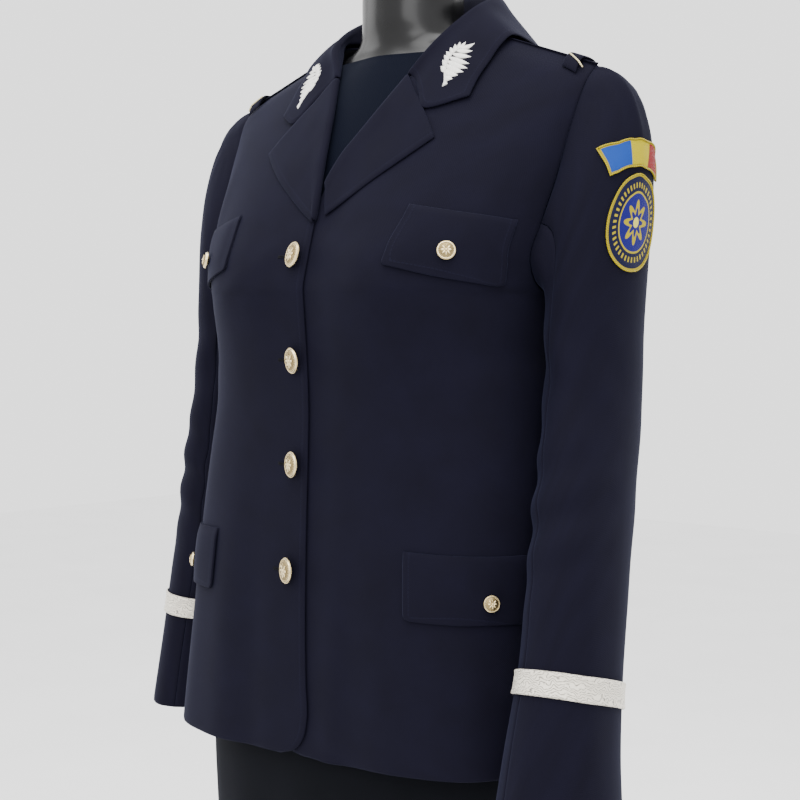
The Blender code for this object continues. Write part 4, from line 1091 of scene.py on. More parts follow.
def woven_wool(name, deep, light, sheen):
    """Worsted uniform wool, pressed: matt, with a fine twill, a soft bloom and tonal stitching."""
    look, shader, add = new_look(name, {
        "Roughness": 0.86, "Specular IOR Level": 0.06, "Sheen Weight": sheen,
        "Sheen Roughness": 0.42, "Sheen Tint": "#9fa9e6",
    })
    cloth = add("UVMap", uv_map="cloth")
    # The twill's ribs are 0.6 mm apart on the cloth; they are drawn at 1.2 mm so that they show
    twill = add("TexWave", {
        "Vector": cloth, "Scale": 370.0, "Distortion": 0.8, "Detail": 1.0, "Detail Scale": 3.0,
    }, bands_direction="DIAGONAL")
    fibre = add("TexNoise", {"Vector": cloth, "Scale": 1400.0, "Detail": 3.0, "Roughness": 0.55})
    bloom = add("TexNoise", {"Vector": cloth, "Scale": 22.0, "Detail": 3.0, "Roughness": 0.55})
    # Stitches 3 mm long in a line 6 mm from the edge
    stitch = add("UVMap", uv_map="stitch")
    inward, along = add("SeparateXYZ", (stitch,), slice(2))
    off_line = add("Math", (inward, 0.0060), operation="SUBTRACT")
    off_line = add("Math", (off_line,), operation="ABSOLUTE")
    dash = add("Math", (along, 0.0018), operation="PINGPONG")
    dash = add("MapRange", (dash, 0.0003, 0.0006), **SMOOTH)
    thread = add("MapRange", (off_line, 0.0003, 0.0007, *FALLING), **SMOOTH)
    thread = add("Math", (thread, dash), **TIMES)
    pull = add("MapRange", (off_line, 0.0, 0.0024, *FALLING), **SMOOTH)
    fuzz = add("Math", (fibre, 0.45), **TIMES)
    height = add("Math", (twill, 0.30, fuzz), **FUSED)
    height = add("Math", (pull, -0.7, height), **FUSED)
    height = add("Math", (thread, 0.6, height), **FUSED)
    share = add("Math", (bloom, 0.75), **TIMES)
    share = add("Math", (fibre, 0.35, share), **FUSED)
    colour = add("Mix", {0: share, 6: deep, 7: light}, **COLOURS)
    # Painted highlight: the colour turns paler within 1.2 mm of a stitched edge. The tonal thread is a
    # little paler as well
    painted_edge_highlight = add("MapRange", (inward, 0.0, 0.0012, 0.05, 0.0), **SMOOTH)
    thread_and_edge_highlight = add("Math", (thread, 0.35), **TIMES)
    thread_and_edge_highlight = add("Math", (thread_and_edge_highlight, painted_edge_highlight), operation="MAXIMUM")
    colour = add("Mix", {0: thread_and_edge_highlight, 6: colour, 7: "#151524"}, **COLOURS)
    relief = add("Bump", {"Height": height, "Strength": 0.40, "Distance": 0.00035})
    set_inputs(look, shader, {"Base Color": colour, "Normal": relief})
    return look


def lining_satin():
    """Acetate lining, woven in satin: smooth and slippery, so its folds catch a soft line of light."""
    look, shader, add = new_look("acetate lining satin", {
        "Roughness": 0.38, "Specular IOR Level": 0.45, "Anisotropic": 0.4, "Sheen Weight": 0.1,
    })
    cloth = add("UVMap", uv_map="cloth")
    ribs = add("TexWave", {"Vector": cloth, "Scale": 330.0, "Distortion": 0.3}, bands_direction="X")
    cloud = add("TexNoise", {"Vector": cloth, "Scale": 40.0, "Roughness": 0.55})
    colour = add("Mix", {0: cloud, 6: "#12131d", 7: "#1c1e2b"}, **COLOURS)
    relief = add("Bump", {"Height": ribs, "Strength": 0.15, "Distance": 0.0002})
    set_inputs(look, shader, {"Base Color": colour, "Normal": relief})
    return look


def hard_finish(name, constants, wear, tones, relief, worn=None, gloss=None, grain=None, stretch=None):
    """A hard finish: its wear shows in its tones and its gloss, over a fine relief.

    Wear and grain are given as a scale and a detail, worn and gloss as ranges of the wear.
    """
    look, shader, add = new_look(name, constants)
    place = add("TexCoord", out="Object")
    if stretch:
        place = add("Mapping", {"Vector": place, "Scale": stretch})
    wear, grain = (
        add("TexNoise", {"Vector": place, "Scale": scale, "Detail": detail, "Roughness": 0.55})
        for scale, detail in (wear, grain or wear)
    )
    share = add("MapRange", (wear, *worn), **SMOOTH) if worn else wear
    colour = add("Mix", {0: share, 6: tones[0], 7: tones[1]}, **COLOURS)
    bump = add("Bump", {"Height": grain, "Strength": relief[0], "Distance": relief[1]})
    set_inputs(look, shader, {"Base Color": colour, "Normal": bump})
    if gloss:
        set_inputs(look, shader, {"Roughness": add("MapRange", (wear, *gloss), **SMOOTH)})
    return look


def silver_braid():
    """Flat braid woven from silver-white metal thread: pale, with wavy ribs and small glints."""
    look, shader, add = new_look("silver thread braid", {
        "Roughness": 0.42, "Metallic": 0.22, "Sheen Weight": 0.15,
    })
    cloth = add("UVMap", uv_map="cloth")
    # The woven scrolls run along the braid, about 2 mm apart
    waves = add("TexWave", {
        "Vector": cloth, "Scale": 130.0, "Distortion": 20.0, "Detail": 1.5, "Detail Scale": 0.9,
        "Detail Roughness": 0.5,
    }, bands_direction="Y")
    threads = add("TexWave", {"Vector": cloth, "Scale": 300.0, "Distortion": 0.5}, bands_direction="X")
    hollow = add("MapRange", (waves, 0.02, 0.22, *FALLING), **SMOOTH)
    speck = add("TexNoise", {"Vector": cloth, "Scale": 420.0, "Roughness": 0.55})
    speck = add("MapRange", (speck, 0.32, 0.52, 0.0, 0.8), **SMOOTH)
    dark = add("Math", (hollow, speck), **TIMES)
    colour = add("Mix", {0: dark, 6: "#dcd5c6", 7: "#4b4845"}, **COLOURS)
    scrolls = add("MapRange", (waves, 0.0, 0.5), **SMOOTH)
    height = add("Math", (threads, 0.18, scrolls), **FUSED)
    relief = add("Bump", {"Height": height, "Strength": 0.8, "Distance": 0.0006})
    set_inputs(look, shader, {"Base Color": colour, "Normal": relief})
    return look


def laid_thread(name, dark, light, scale, relief_depth, direction, constants):
    """Rayon or metal thread, laid side by side in satin stitch: it shines across its own ridges."""
    look, shader, add = new_look(name, constants)
    cloth = add("UVMap", uv_map="cloth")
    ridges = add("TexWave", {"Vector": cloth, **scale}, bands_direction=direction)
    # Painted highlight and shade: the colour is lighter on each ridge's top and darker between the ridges
    colour = add("Mix", {0: ridges, 6: dark, 7: light}, **COLOURS)
    relief = add("Bump", {"Height": ridges, "Strength": relief_depth, "Distance": 0.0003})
    set_inputs(look, shader, {"Base Color": colour, "Normal": relief})
    return look


def embroidery(name, scale, drawing, shade, depth):
    """Machine embroidery: a drawing's colours and what stands up in it, with stitches over both."""
    look, shader, add = new_look(name, {"Roughness": 0.60, "Specular IOR Level": 0.12})
    plan = add("UVMap", uv_map="cloth")
    stitches = add("TexWave", {
        "Vector": plan, "Scale": scale, "Distortion": 1.0, "Detail": 1.0,
    }, bands_direction="DIAGONAL")
    colour, raised = drawing(add, plan, *add("SeparateXYZ", (plan,), slice(2)))
    height = add("Math", (stitches, 0.35, raised), **FUSED)
    shadow = add("Math", (stitches, depth), **TIMES)
    colour = add("Mix", {0: shadow, 6: colour, 7: shade}, **COLOURS)
    relief = add("Bump", {"Height": height, "Strength": 0.6, "Distance": 0.0005})
    set_inputs(look, shader, {"Base Color": colour, "Normal": relief})
    return look


def patch_drawing(add, plan, sideways, upward):
    """A round badge: deep blue ground, gold rings, a ring of beads and a plain rosette."""
    reach = add("VectorMath", (plan,), "Value", operation="LENGTH")
    turn = add("Math", (upward, sideways), operation="ARCTAN2")
    gold, pale, blue, deep = "#9f8f04", "#cdc452", "#120f62", "#07092a"
    outer = add("MapRange", (reach, 0.60, 0.62), **SMOOTH)
    colour = add("Mix", {0: outer, 6: blue, 7: deep}, **COLOURS)
    beads = add("Math", (turn, 40.0), **TIMES)
    beads = add("Math", (beads,), operation="COSINE")
    beads = add("MapRange", (beads, 0.0, 0.45), **SMOOTH)
    petals = add("Math", (turn, 8.0), **TIMES)
    petals = add("Math", (petals,), operation="COSINE")

    def band(middle, half, soft):
        """A ring round the badge's centre."""
        off = add("Math", (reach, middle), operation="SUBTRACT")
        off = add("Math", (off,), operation="ABSOLUTE")
        return add("MapRange", (off, half, half + soft, *FALLING), **SMOOTH)

    def flower(depth, middle):
        """The rosette's shape: its edge swings in and out eight times."""
        edge = add("Math", (petals, depth, middle), **FUSED)
        off = add("Math", (reach, edge), operation="SUBTRACT")
        return add("MapRange", (off, -0.015, 0.015, *FALLING), **SMOOTH)

    beads = add("Math", (beads, band(0.77, 0.045, 0.020)), **TIMES)
    rosette = flower(0.11, 0.36)
    heart = add("MapRange", (reach, 0.10, 0.12, *FALLING), **SMOOTH)
    for share, thread in (
        (beads, gold), (rosette, gold), (flower(0.07, 0.23), blue), (heart, pale),
        (band(0.62, 0.014, 0.012), gold), (band(0.975, 0.022, 0.012), gold),
    ):
        colour = add("Mix", {0: share, 6: colour, 7: thread}, **COLOURS)
    raised = add("Math", (beads, rosette), operation="MAXIMUM")
    rim = add("MapRange", (reach, 0.90, 0.93), **SMOOTH)
    return colour, add("Math", (raised, rim), operation="ADD")


def flag_drawing(add, _, sideways, upward):
    """A tab in blue, yellow and red with a gold overlocked edge."""
    colour = "#0d3c8c"
    for start, code in ((-0.345, "#a89a00"), (0.325, "#7a020b")):
        beyond = add("MapRange", (sideways, start, start + 0.020), **SMOOTH)
        colour = add("Mix", {0: beyond, 6: colour, 7: code}, **COLOURS)
    edges = []
    for place, start, end in ((sideways, 0.95, 0.965), (upward, 0.86, 0.90)):
        off = add("Math", (place,), operation="ABSOLUTE")
        edges.append(add("MapRange", (off, start, end), **SMOOTH))
    edge = add("Math", edges, operation="MAXIMUM")
    return add("Mix", {0: edge, 6: colour, 7: "#998a10"}, **COLOURS), edge


def moulded_plastic(name, tone, roughness, coat):
    """Blow-moulded plastic: black, with a slow waviness in the gloss and a little dust-grey wear."""
    look, shader, add = new_look(name, {
        "Roughness": roughness, "IOR": 1.50, "Specular IOR Level": 0.26, "Coat Weight": coat,
        "Coat Roughness": 0.12,
    })
    place = add("TexCoord", out="Object")
    smear = add("TexNoise", {"Vector": place, "Scale": 14.0, "Detail": 4.0, "Roughness": 0.55})
    grit = add("TexNoise", {"Vector": place, "Scale": 900.0, "Roughness": 0.55})
    wave = add("TexNoise", {"Vector": place, "Scale": 30.0, "Detail": 1.0, "Roughness": 0.55})
    worn = add("MapRange", (smear, 0.45, 0.8), **SMOOTH)
    colour = add("Mix", {0: worn, 6: tone, 7: "#121214"}, **COLOURS)
    rough = add("MapRange", (smear, 0.3, 0.8, roughness * 0.85, roughness * 1.35), **SMOOTH)
    height = add("Math", (grit, 0.12, wave), **FUSED)
    relief = add("Bump", {"Height": height, "Strength": 0.08, "Distance": 0.0010})
    set_inputs(look, shader, {"Base Color": colour, "Roughness": rough, "Normal": relief})
    return look


def knitted_cover():
    """The form's cover: a fine dark navy rib knit, matt and soft under the open neck of the jacket."""
    look, shader, add = new_look("navy rib knit", {
        "Roughness": 0.85, "Specular IOR Level": 0.05, "Sheen Weight": 0.04, "Sheen Roughness": 0.4,
        "Sheen Tint": "#b9c4e0",
    })
    place = add("TexCoord", out="Object")
    # Ribs 1.1 mm apart on the cover, drawn at 2.2 mm so that they show
    ribs = add("TexWave", {"Vector": place, "Scale": 143.0, "Distortion": 0.5})
    fibre = add("TexNoise", {"Vector": place, "Scale": 1100.0, "Detail": 3.0, "Roughness": 0.55})
    # Painted highlight and shade: the ribs are coloured lighter on their tops and darker between them. The
    # fibre noise is random tone
    share = add("Math", (fibre, 0.4), **TIMES)
    share = add("Math", (ribs, 0.5, share), **FUSED)
    colour = add("Mix", {0: share, 6: "#020308", 7: "#050919"}, **COLOURS)
    height = add("Math", (fibre, 0.3), **TIMES)
    height = add("Math", (ribs, 0.8, height), **FUSED)
    relief = add("Bump", {"Height": height, "Strength": 0.35, "Distance": 0.0004})
    set_inputs(look, shader, {"Base Color": colour, "Normal": relief})
    return look


def buttonhole_twist():
    """Silk twist round a worked buttonhole: dense tonal stitches with a cut line between them."""
    look, shader, add = new_look("buttonhole twist", {"Roughness": 0.70, "Specular IOR Level": 0.06})
    plan = add("UVMap", uv_map="cloth")
    across = add("SeparateXYZ", (plan,), 1)
    stitches = add("TexWave", {"Vector": plan, "Scale": 380.0, "Distortion": 0.4}, bands_direction="X")
    cut = add("Math", (across, BUTTONHOLE_WIDTH / 2), operation="SUBTRACT")
    cut = add("Math", (cut,), operation="ABSOLUTE")
    cut = add("MapRange", (cut, 0.0002, 0.0005, *FALLING), **SMOOTH)
    # Painted shade: the colour is darker between the stitches, and near black in the cut between the two
    # rows
    colour = add("Mix", {0: stitches, 6: "#050509", 7: "#0e0d15"}, **COLOURS)
    colour = add("Mix", {0: cut, 6: colour, 7: "#020203"}, **COLOURS)
    height = add("Math", (stitches, cut), operation="SUBTRACT")
    relief = add("Bump", {"Height": height, "Strength": 0.7, "Distance": 0.0003})
    set_inputs(look, shader, {"Base Color": colour, "Normal": relief})
    return look


BUTTONHOLE_WIDTH = 0.0034
JACKET_WOOL = woven_wool("navy worsted wool", "#08070e", "#0f0e1c", 0.036)
# The skirt is the jacket's navy worsted with less sheen, coloured darker as painted shade below the jacket
SHADED_SKIRT_WOOL = woven_wool("navy skirt wool with painted shade", "#030406", "#08090e", 0.018)
LINING = lining_satin()
# Stamped brass, pale gilt and lacquered: bright on the high parts, duller in the hollows
BRASS = hard_finish(
    "pale gilt brass", {"Metallic": 1.0, "Roughness": 0.27, "Coat Weight": 0.15}, (420.0, 4.0),
    ("#ead9ae", "#b7a271"), (0.12, 0.0002), gloss=(0.3, 0.75, 0.20, 0.42), grain=(2600.0, 2.0))
# The sunk field of a stamped button: the same brass, darkened where polish doesn't reach
FIELD_BRASS = hard_finish(
    "toned brass field", {"Metallic": 1.0, "Roughness": 0.48}, (700.0, 3.0), ("#9c8a62", "#6a5b3e"),
    (0.3, 0.0002))
BRAID = silver_braid()
# Sprig threads are 0.4 mm thick, and are drawn at 0.8 mm
THREAD = laid_thread(
    "silver embroidery thread", "#b9b8b5", "#f4f2ec", {"Scale": 400.0, "Distortion": 0.6, "Detail": 1.0},
    0.5, "X", {"Roughness": 0.36, "Metallic": 0.15, "Sheen Weight": 0.2})
OVERLOCK = (
    {"Scale": 300.0, "Distortion": 0.4}, 0.6, "DIAGONAL", {"Roughness": 0.50, "Specular IOR Level": 0.2})
GOLD_EDGE = laid_thread("gold overlock thread", "#6e6008", "#a8970a", *OVERLOCK)
PALE_PIPING = laid_thread("pale gold piping", "#a89a6c", "#e6dcb6", *OVERLOCK)
TWIST = buttonhole_twist()
PATCH = embroidery("embroidered patch thread", 16.0, patch_drawing, "#10122c", 0.35)
FLAG = embroidery("embroidered flag thread", 18.0, flag_drawing, "#2a2418", 0.25)
FORM_BLACK = moulded_plastic("gloss black plastic", "#050506", 0.27, 0.04)
FORM_COVER = knitted_cover()
CAP_BLACK = moulded_plastic("satin black plastic", "#161617", 0.42, 0.0)
# Steel tube, brushed round its axis: long soft glints along the pole
STEEL = hard_finish(
    "brushed steel", {"Metallic": 1.0, "Roughness": 0.30, "Anisotropic": 0.5}, (60.0, 4.0),
    ("#a9abad", "#d2d3d4"), (0.12, 0.0002), gloss=(0.2, 0.8, 0.24, 0.40), stretch=(1.0, 1.0, 40.0))
# Powder-coated steel plate: black with an orange-peel skin, 0.7 mm across and drawn at 1.5 mm
BASE_BLACK = hard_finish(
    "black powder coat", {"Roughness": 0.42, "IOR": 1.5, "Specular IOR Level": 0.3}, (26.0, 5.0),
    ("#0a0a0b", "#17181a"), (0.30, 0.0004), worn=(0.5, 0.8), gloss=(0.3, 0.8, 0.34, 0.55),
    grain=(650.0, 2.0))


# Jacket

def grid_normals(points, like):
    """The normals of a moved grid, on the same side as before."""
    across, up = np.gradient(points, axis=1), np.gradient(points, axis=0)
    normals = unit(np.cross(across, up))
    normals[np.linalg.norm(normals, axis=-1) < 0.5] = like[np.linalg.norm(normals, axis=-1) < 0.5]
    side = np.sum(normals * like, axis=-1, keepdims=True)
    return np.where(side < 0.0, -normals, normals)


def folded(points, normals, folds):
    moved = folds(points)
    return moved, grid_normals(moved, normals)


def laid(fine, across, up, lift, folds):
    """Cloth laid on another piece at the given places, lifted off it and folded with it."""
    normals = fine.normal(across, up)
    return folded(fine.point(across, up) + normals * lift, normals, folds)


FRONT_SHEETS = {side: Sheet(front_rows(side), body_axis) for side, _ in SIDES}
FRONTS = {side: FineCloth(mirrored(front_rows(side), side), body_axis) for side, _ in SIDES}


LINED_WOOL = (JACKET_WOOL, LINING)
LAID_STEP = 0.003
# A front is sewn to the back where it is this near, and the cloth beside a seam eases along
SHOULDER_SEAM_GAP = 0.008
SEAM_REACH = 0.030
SLEEVE_TUCK = 0.0020


def make_panels():
    """The fronts and backs, sewn at the shoulders. Gives each side's armhole seam."""
    armholes = {}
    for side, word in SIDES:
        back = FineCloth(mirrored(back_rows(side), side), body_axis)
        back_points, back_normals = folded(*back.grid(*back.stops()), torso_folds)
        front_points, front_normals = folded(*FRONTS[side].grid(*FRONTS[side].stops()), torso_folds)
        shoulder = back_points[-1][back_points[-1][:, 2] > UNDERARM]
        gaps = np.linalg.norm(nearest_on(shoulder, front_points[-1]) - front_points[-1], axis=1)
        near = gaps < SHOULDER_SEAM_GAP
        sewn = sew_row(front_points, -1, shoulder, SEAM_REACH)
        front_points = np.where(near[None, :, None], sewn, front_points)
        front_normals = grid_normals(front_points, front_normals)
        for name, points, normals, stitched in (
            (f"front_{word}", front_points, front_normals, ("first",)),
            (f"back_{word}", back_points, back_normals, ()),
        ):
            sew(name + "_panel", (points, normals), CLOTH, LINED_WOOL, "jacket_wool", ["form_torso"], [name],
                stitched=stitched)
        edges = [points[:, -1] for points in (front_points, back_points)]
        seams = [edge[edge[:, 2] > UNDERARM - 0.012] for edge in edges]
        armholes[side] = np.concatenate((seams[0], seams[1][::-1]))
    return armholes


def make_lapels():
    for side, word in SIDES:
        rows = lapel_rows(side, FRONT_SHEETS[side])
        fine = FineCloth(mirrored(rows, side), body_axis)
        cloth = folded(*fine.grid(*fine.stops(LAID_STEP)), torso_folds)
        sew(f"lapel_{word}_leaf", cloth, LAID_CLOTH, (JACKET_WOOL,), "jacket_wool", [f"front_{word}_panel"],
            [f"lapel_{word}"], "folded", stitched=("last",))


def quad_places(sheet, corners, steps=6):
    """Column and row places over a quad of the cloth, given by its corners as (x, height)."""
    low_inner, low_outer, top_inner, top_outer = (np.array(corner) for corner in corners)
    places = np.zeros((steps + 1, steps + 1, 2))
    for k in range(steps + 1):
        for j in range(steps + 1):
            s, t = j / steps, k / steps
            low, top = low_inner * (1 - s) + low_outer * s, top_inner * (1 - s) + top_outer * s
            places[k, j] = sheet.place(*(low * (1 - t) + top * t))
    return places


def read_places(places, s, t):
    """Places between the ones of a quad."""
    steps = len(places) - 1
    c, r = np.clip((s * steps).astype(int), 0, steps - 1), np.clip((t * steps).astype(int), 0, steps - 1)
    a, b = (s * steps - c)[..., None], (t * steps - r)[..., None]
    low = places[r, c] * (1 - a) + places[r, c + 1] * a
    high = places[r + 1, c] * (1 - a) + places[r + 1, c + 1] * a
    return low * (1 - b) + high * b


def flap_shares(wide, tall, corner):
    """Shares across and up a flap, with its low corners rounded."""
    near = np.array([0.0, 0.04, 0.15, 0.35, 0.65, 1.0]) * corner
    up = np.concatenate((near, np.linspace(corner, tall, max(4, round((tall - corner) / FINE_STEP)))[1:]))
    side = np.array([0.0, 0.12, 0.4]) * corner
    middle = np.linspace(corner, wide - corner, max(5, round(wide / FINE_STEP)))
    across = np.concatenate((side, middle, wide - side[::-1]))
    s, t = np.meshgrid(across / wide, up / tall)
    below = np.clip(corner - t * tall, 0.0, corner)
    inset = (corner - np.sqrt(np.maximum(corner**2 - below**2, 0.0))) / wide
    return inset + s * (1 - 2 * inset), t


SEWN_LIFT = 0.0019
CORNER_ROUNDS = {"breast": 0.004, "lower": 0.006}
PUFFS = {"breast": 0.0006, "lower": 0.0016}


def make_flaps():
    for side, word in SIDES:
        sheet, fine = FRONT_SHEETS[side], FRONTS[side]
        for name, corners in FLAPS.items():
            places = quad_places(sheet, corners)
            low_inner, low_outer, top_inner, _ = (np.array(corner) for corner in corners)
            wide, tall = np.linalg.norm(low_outer - low_inner) * 1.05, np.linalg.norm(top_inner - low_inner)
            s, t = flap_shares(wide, tall, CORNER_ROUNDS[name])
            spots = read_places(places, s, t)
            puff = np.sin(np.pi * np.clip(s, 0, 1)) * np.sin(np.pi * np.clip(t * 0.9 + 0.05, 0, 1))
            lift = FLAP_LIFT + PUFFS[name] * puff
            # Sewn down along its top, the breast flap also close at its inner side
            lift -= (FLAP_LIFT - SEWN_LIFT) * ease(t, 0.80, 1.0)
            if name == "breast":
                lift -= (lift - SEWN_LIFT) * ease(s, 0.22, 0.0) * ease(t, 0.0, 0.3)
                lift += 0.0014 * (1 - t) ** 2 * s ** 3
            cloth = laid(fine, spots[..., 0], spots[..., 1], lift[..., None], torso_folds)
            flap = f"{name}_flap_{word}"
            sew(flap + "_cloth", cloth, LAID_CLOTH, LINED_WOOL, "jacket_wool",
                [f"front_{word}_panel"], [flap], "laid", stitched=("low", "first", "last"))


# Collar

def collar_middle(point):
    return Vector((0.0, 0.02, point[2] - 0.05))


def make_collar():
    halves = {side: collar_rows(side, FRONT_SHEETS[side]) for side, _ in SIDES}
    rows = halves[1] + mirrored(halves[-1], -1)[-2::-1]
    fine = FineCloth(rows, collar_middle)
    cloth = folded(*fine.grid(*fine.stops(LAID_STEP)), torso_folds)
    sew("collar_cloth", cloth, LAID_CLOTH, (JACKET_WOOL,), "jacket_wool",
        ["back_left_panel", "back_right_panel"], ["collar"], "folded", stitched=("last", "low", "high"))
    return {1: (fine, 0.0, 1.0), -1: (fine, len(rows) - 1.0, -1.0)}


# Leaves from the stem to their tips, as (x, y), (x, y), width, in millimetres: x toward the leaf
# edge of the collar, y up toward the nape
LEAVES = (
    ((-5.0, 9.0), (3.5, 22.0), 4.6), ((-7.0, 5.0), (7.0, 14.5), 5.0), ((-8.0, 0.5), (10.0, 8.0), 5.2),
    ((-8.0, -3.5), (13.0, 1.0), 5.4), ((-7.0, -7.0), (14.5, -3.5), 5.2),
    ((-5.0, -10.0), (13.5, -8.0), 5.2), ((-2.0, -13.0), (11.5, -11.8), 4.8),
    ((3.0, -16.0), (10.0, -15.2), 3.8), ((-1.0, -14.0), (-8.5, -13.0), 4.2),
    ((-4.0, -11.0), (-11.5, -8.5), 4.4), ((-6.0, -7.5), (-13.5, -4.0), 4.4),
    ((-7.0, -4.0), (-14.5, 0.0), 4.4), ((-7.5, 0.0), (-14.0, 5.0), 4.2), ((-7.5, 3.5), (-12.5, 10.0), 4.0),
    ((-6.5, 6.5), (-10.0, 14.5), 4.0), ((-5.5, 8.0), (-5.5, 18.0), 4.0),
)
SPRIG_STEM = (
    (9.0, -20.5), (5.0, -17.5), (-1.0, -14.0), (-5.5, -9.5), (-7.5, -4.0), (-7.5, 2.0), (-5.5, 8.5),
)
LEAF_RISE = 0.9
SPRIG_GROUND = 0.0002
SPRIG_DEPTH = 0.0006


def leaf_outline(start, end, width, steps=12, across=6):
    """A leaf's own grid in millimetres: x, y, rise, way along, share across."""
    (x0, y0), (x1, y1) = start, end
    long = math.hypot(x1 - x0, y1 - y0)
    way_x, way_y = (x1 - x0) / long, (y1 - y0) / long
    t, s = np.meshgrid(np.linspace(0.0, 1.0, steps + 1), np.linspace(-1.0, 1.0, across + 1), indexing="ij")
    off = s * width / 2 * np.sin(np.pi * np.clip(t, 0.06, 0.985) ** 0.8) + long * 0.06 * np.sin(np.pi * t)
    x = x0 + long * t * way_x + off * way_y
    y = y0 + long * t * way_y - off * way_x
    swell = np.clip(np.sin(np.pi * np.clip(t, 0.03, 0.97)), 0.25, 1)
    rise = LEAF_RISE * np.sqrt(np.maximum(1.0 - s**2, 0.0)) * swell
    return x, y, rise, t * long, s


def stem_outline(across=4, steps=24):
    """The stem's own grid, like a leaf's: a wrapped cord along the stem's curve."""
    count = len(SPRIG_STEM)
    t = np.linspace(0.0, 1.0, steps + 1)
    line = np.array([curve_value(SPRIG_STEM, list(range(count)), float(k)) for k in t * (count - 1)])
    way = unit(np.gradient(line, axis=0))
    s = np.linspace(-1.0, 1.0, across + 1)
    off = s[None, :] * np.interp(t, (0.0, 0.06, 0.14, 1.0), (1.6, 1.5, 0.8, 0.6))[:, None]
    x = line[:, :1] + off * way[:, 1:]
    y = line[:, 1:] - off * way[:, :1]
    rise = np.repeat(LEAF_RISE * 1.1 * np.sqrt(np.maximum(1.0 - s**2, 0.0))[None, :], steps + 1, axis=0)
    along = np.repeat(t[:, None] * 55.0, across + 1, axis=1)
    return x, y, rise, along, np.repeat(s[None, :], steps + 1, axis=0)


def make_sprigs(collar):
    for side, word in SIDES:
        fine, start, way = collar[side]
        vertices, faces, plans = [], [], []
        middle_row = start + way * SPRIG_ROW
        base_up = np.interp(middle_row, np.arange(fine.rows + 1), fine.up)
        base_across = np.interp(SPRIG_COLUMN, np.arange(fine.columns + 1), fine.across)
        for x, y, rise, along, s in [leaf_outline(*leaf) for leaf in LEAVES] + [stem_outline()]:
            across = np.interp(base_across + x * 0.001, fine.across, np.arange(fine.columns + 1))
            up = np.interp(base_up + way * y * 0.001, fine.up, np.arange(fine.rows + 1))
            ground, normals = fine.point(across, up), fine.normal(across, up)
            tops = torso_folds(ground + normals * (SPRIG_GROUND + rise * 0.001)[..., None])
            lows = torso_folds(ground - normals * SPRIG_DEPTH)
            first, count = len(vertices), x.size
            vertices += [*tops.reshape(-1, 3), *lows.reshape(-1, 3)]
            plans += [(a * 0.001, b * 0.002) for a, b in zip(along.ravel(), s.ravel())] * 2
            flip = np.dot(np.cross(tops[5, 3] - tops[5, 2], tops[6, 2] - tops[5, 2]), normals[5, 2]) < 0
            upper = grid_faces(*x.shape)
            walk = [r * x.shape[1] + c for r, c in border_walk(*x.shape)]
            rim = [[a, a + count, b + count, b] for a, b in zip(walk, walk[1:] + walk[:1])]
            own = turned(upper + rim, flip) + turned([[k + count for k in face] for face in upper], not flip)
            faces += [[first + k for k in face] for face in own]
        piece = new_piece(f"collar_sprig_{word}_thread", vertices, faces, (THREAD,), cloth=plans)
        ride(piece, "silver_braid", f"collar_sprig_{word}")


# Sleeves

def sleeve_parts(side):
    sections = LEFT_SLEEVE if side > 0 else RIGHT_SLEEVE

    def inside(point):
        z = min(point[2], SLEEVE_MIDDLE_TOP)
        x, y, *_ = section_at(sections, z)
        return Vector((side * (x - (point[2] - z)), y, z))

    turns = [-turn for turn in SLEEVE_TURNS[:0:-1]] + list(SLEEVE_TURNS)
    upper = [turn for turn in turns if abs(turn) <= UNDER_SLEEVE_FROM]
    under = [turn for turn in turns if turn >= UNDER_SLEEVE_FROM]
    under += [turn for turn in turns if -180.0 < turn <= -UNDER_SLEEVE_FROM]
    return sections, inside, upper, under


def make_sleeves(armholes):
    uppers = {}
    for side, word in SIDES:
        sections, inside, upper, under = sleeve_parts(side)

        def folds(points, sections=sections, side=side):
            return sleeve_folds(points, sections, side)

        def own_inside(point, inside=inside, side=side):
            return inside((side * point[0], point[1], point[2]))

        for part, turns in (("upper", upper), ("under", under)):
            rows = trim(sleeve_rows(sections, turns), SEAM_TRIM, SEAM_TRIM)
            fine = FineCloth(mirrored(rows, side), inside)
            points, normals = folded(*fine.grid(*fine.stops()), folds)
            points = sew_row(points, 0, armholes[side], SEAM_REACH)
            normals = grid_normals(points, normals)
            name = f"sleeve_{part}_{word}"
            sew(name + "_cloth", (points, normals), CLOTH, LINED_WOOL, "jacket_wool",
                [f"front_{word}_panel"], [name], "hung", tuck=SLEEVE_TUCK)
            if part == "upper":
                uppers[side] = (fine, Sheet(rows, own_inside), turns, folds)
        around = upper + under[1:-1]
        make_braid(side, word, sections, inside, around + around[:1], folds)
    return uppers


BRAID_STEPS = 180
BRAID_RIB = 0.00045


def make_braid(side, word, sections, inside, turns, folds):
    """A band of braid round the cuff. Its edges are a little thicker than its middle."""
    heights = np.linspace(BRAID_HEIGHTS[0], BRAID_HEIGHTS[1], 3)
    turns = np.array(turns)
    turns[-1] = turns[0]
    rings = [[sleeve_ring_point(sections, turn, z) for turn in turns] for z in heights]
    fine = FineCloth(mirrored([ring[:-1] for ring in rings], side), inside, True)
    across = np.linspace(0.0, len(turns) - 1, BRAID_STEPS + 1)[:-1]
    shares = np.array([0.0, 0.05, 0.12, 0.20, 0.4, 0.6, 0.80, 0.88, 0.95, 1.0])
    rib = BRAID_RIB * np.array([0.0, 1.0, 1.0, 0.0, 0.0, 0.0, 0.0, 1.0, 1.0, 0.0])
    points, normals = fine.grid(across, shares * 2.0, (BRAID_LIFT + rib)[:, None] * np.ones(BRAID_STEPS))
    name = f"cuff_braid_{word}"
    sew(name + "_band", folded(points, normals, folds), BRAID_CLOTH, (BRAID,), "silver_braid",
        [f"sleeve_upper_{word}_cloth"], [name], "laid", closed=True)


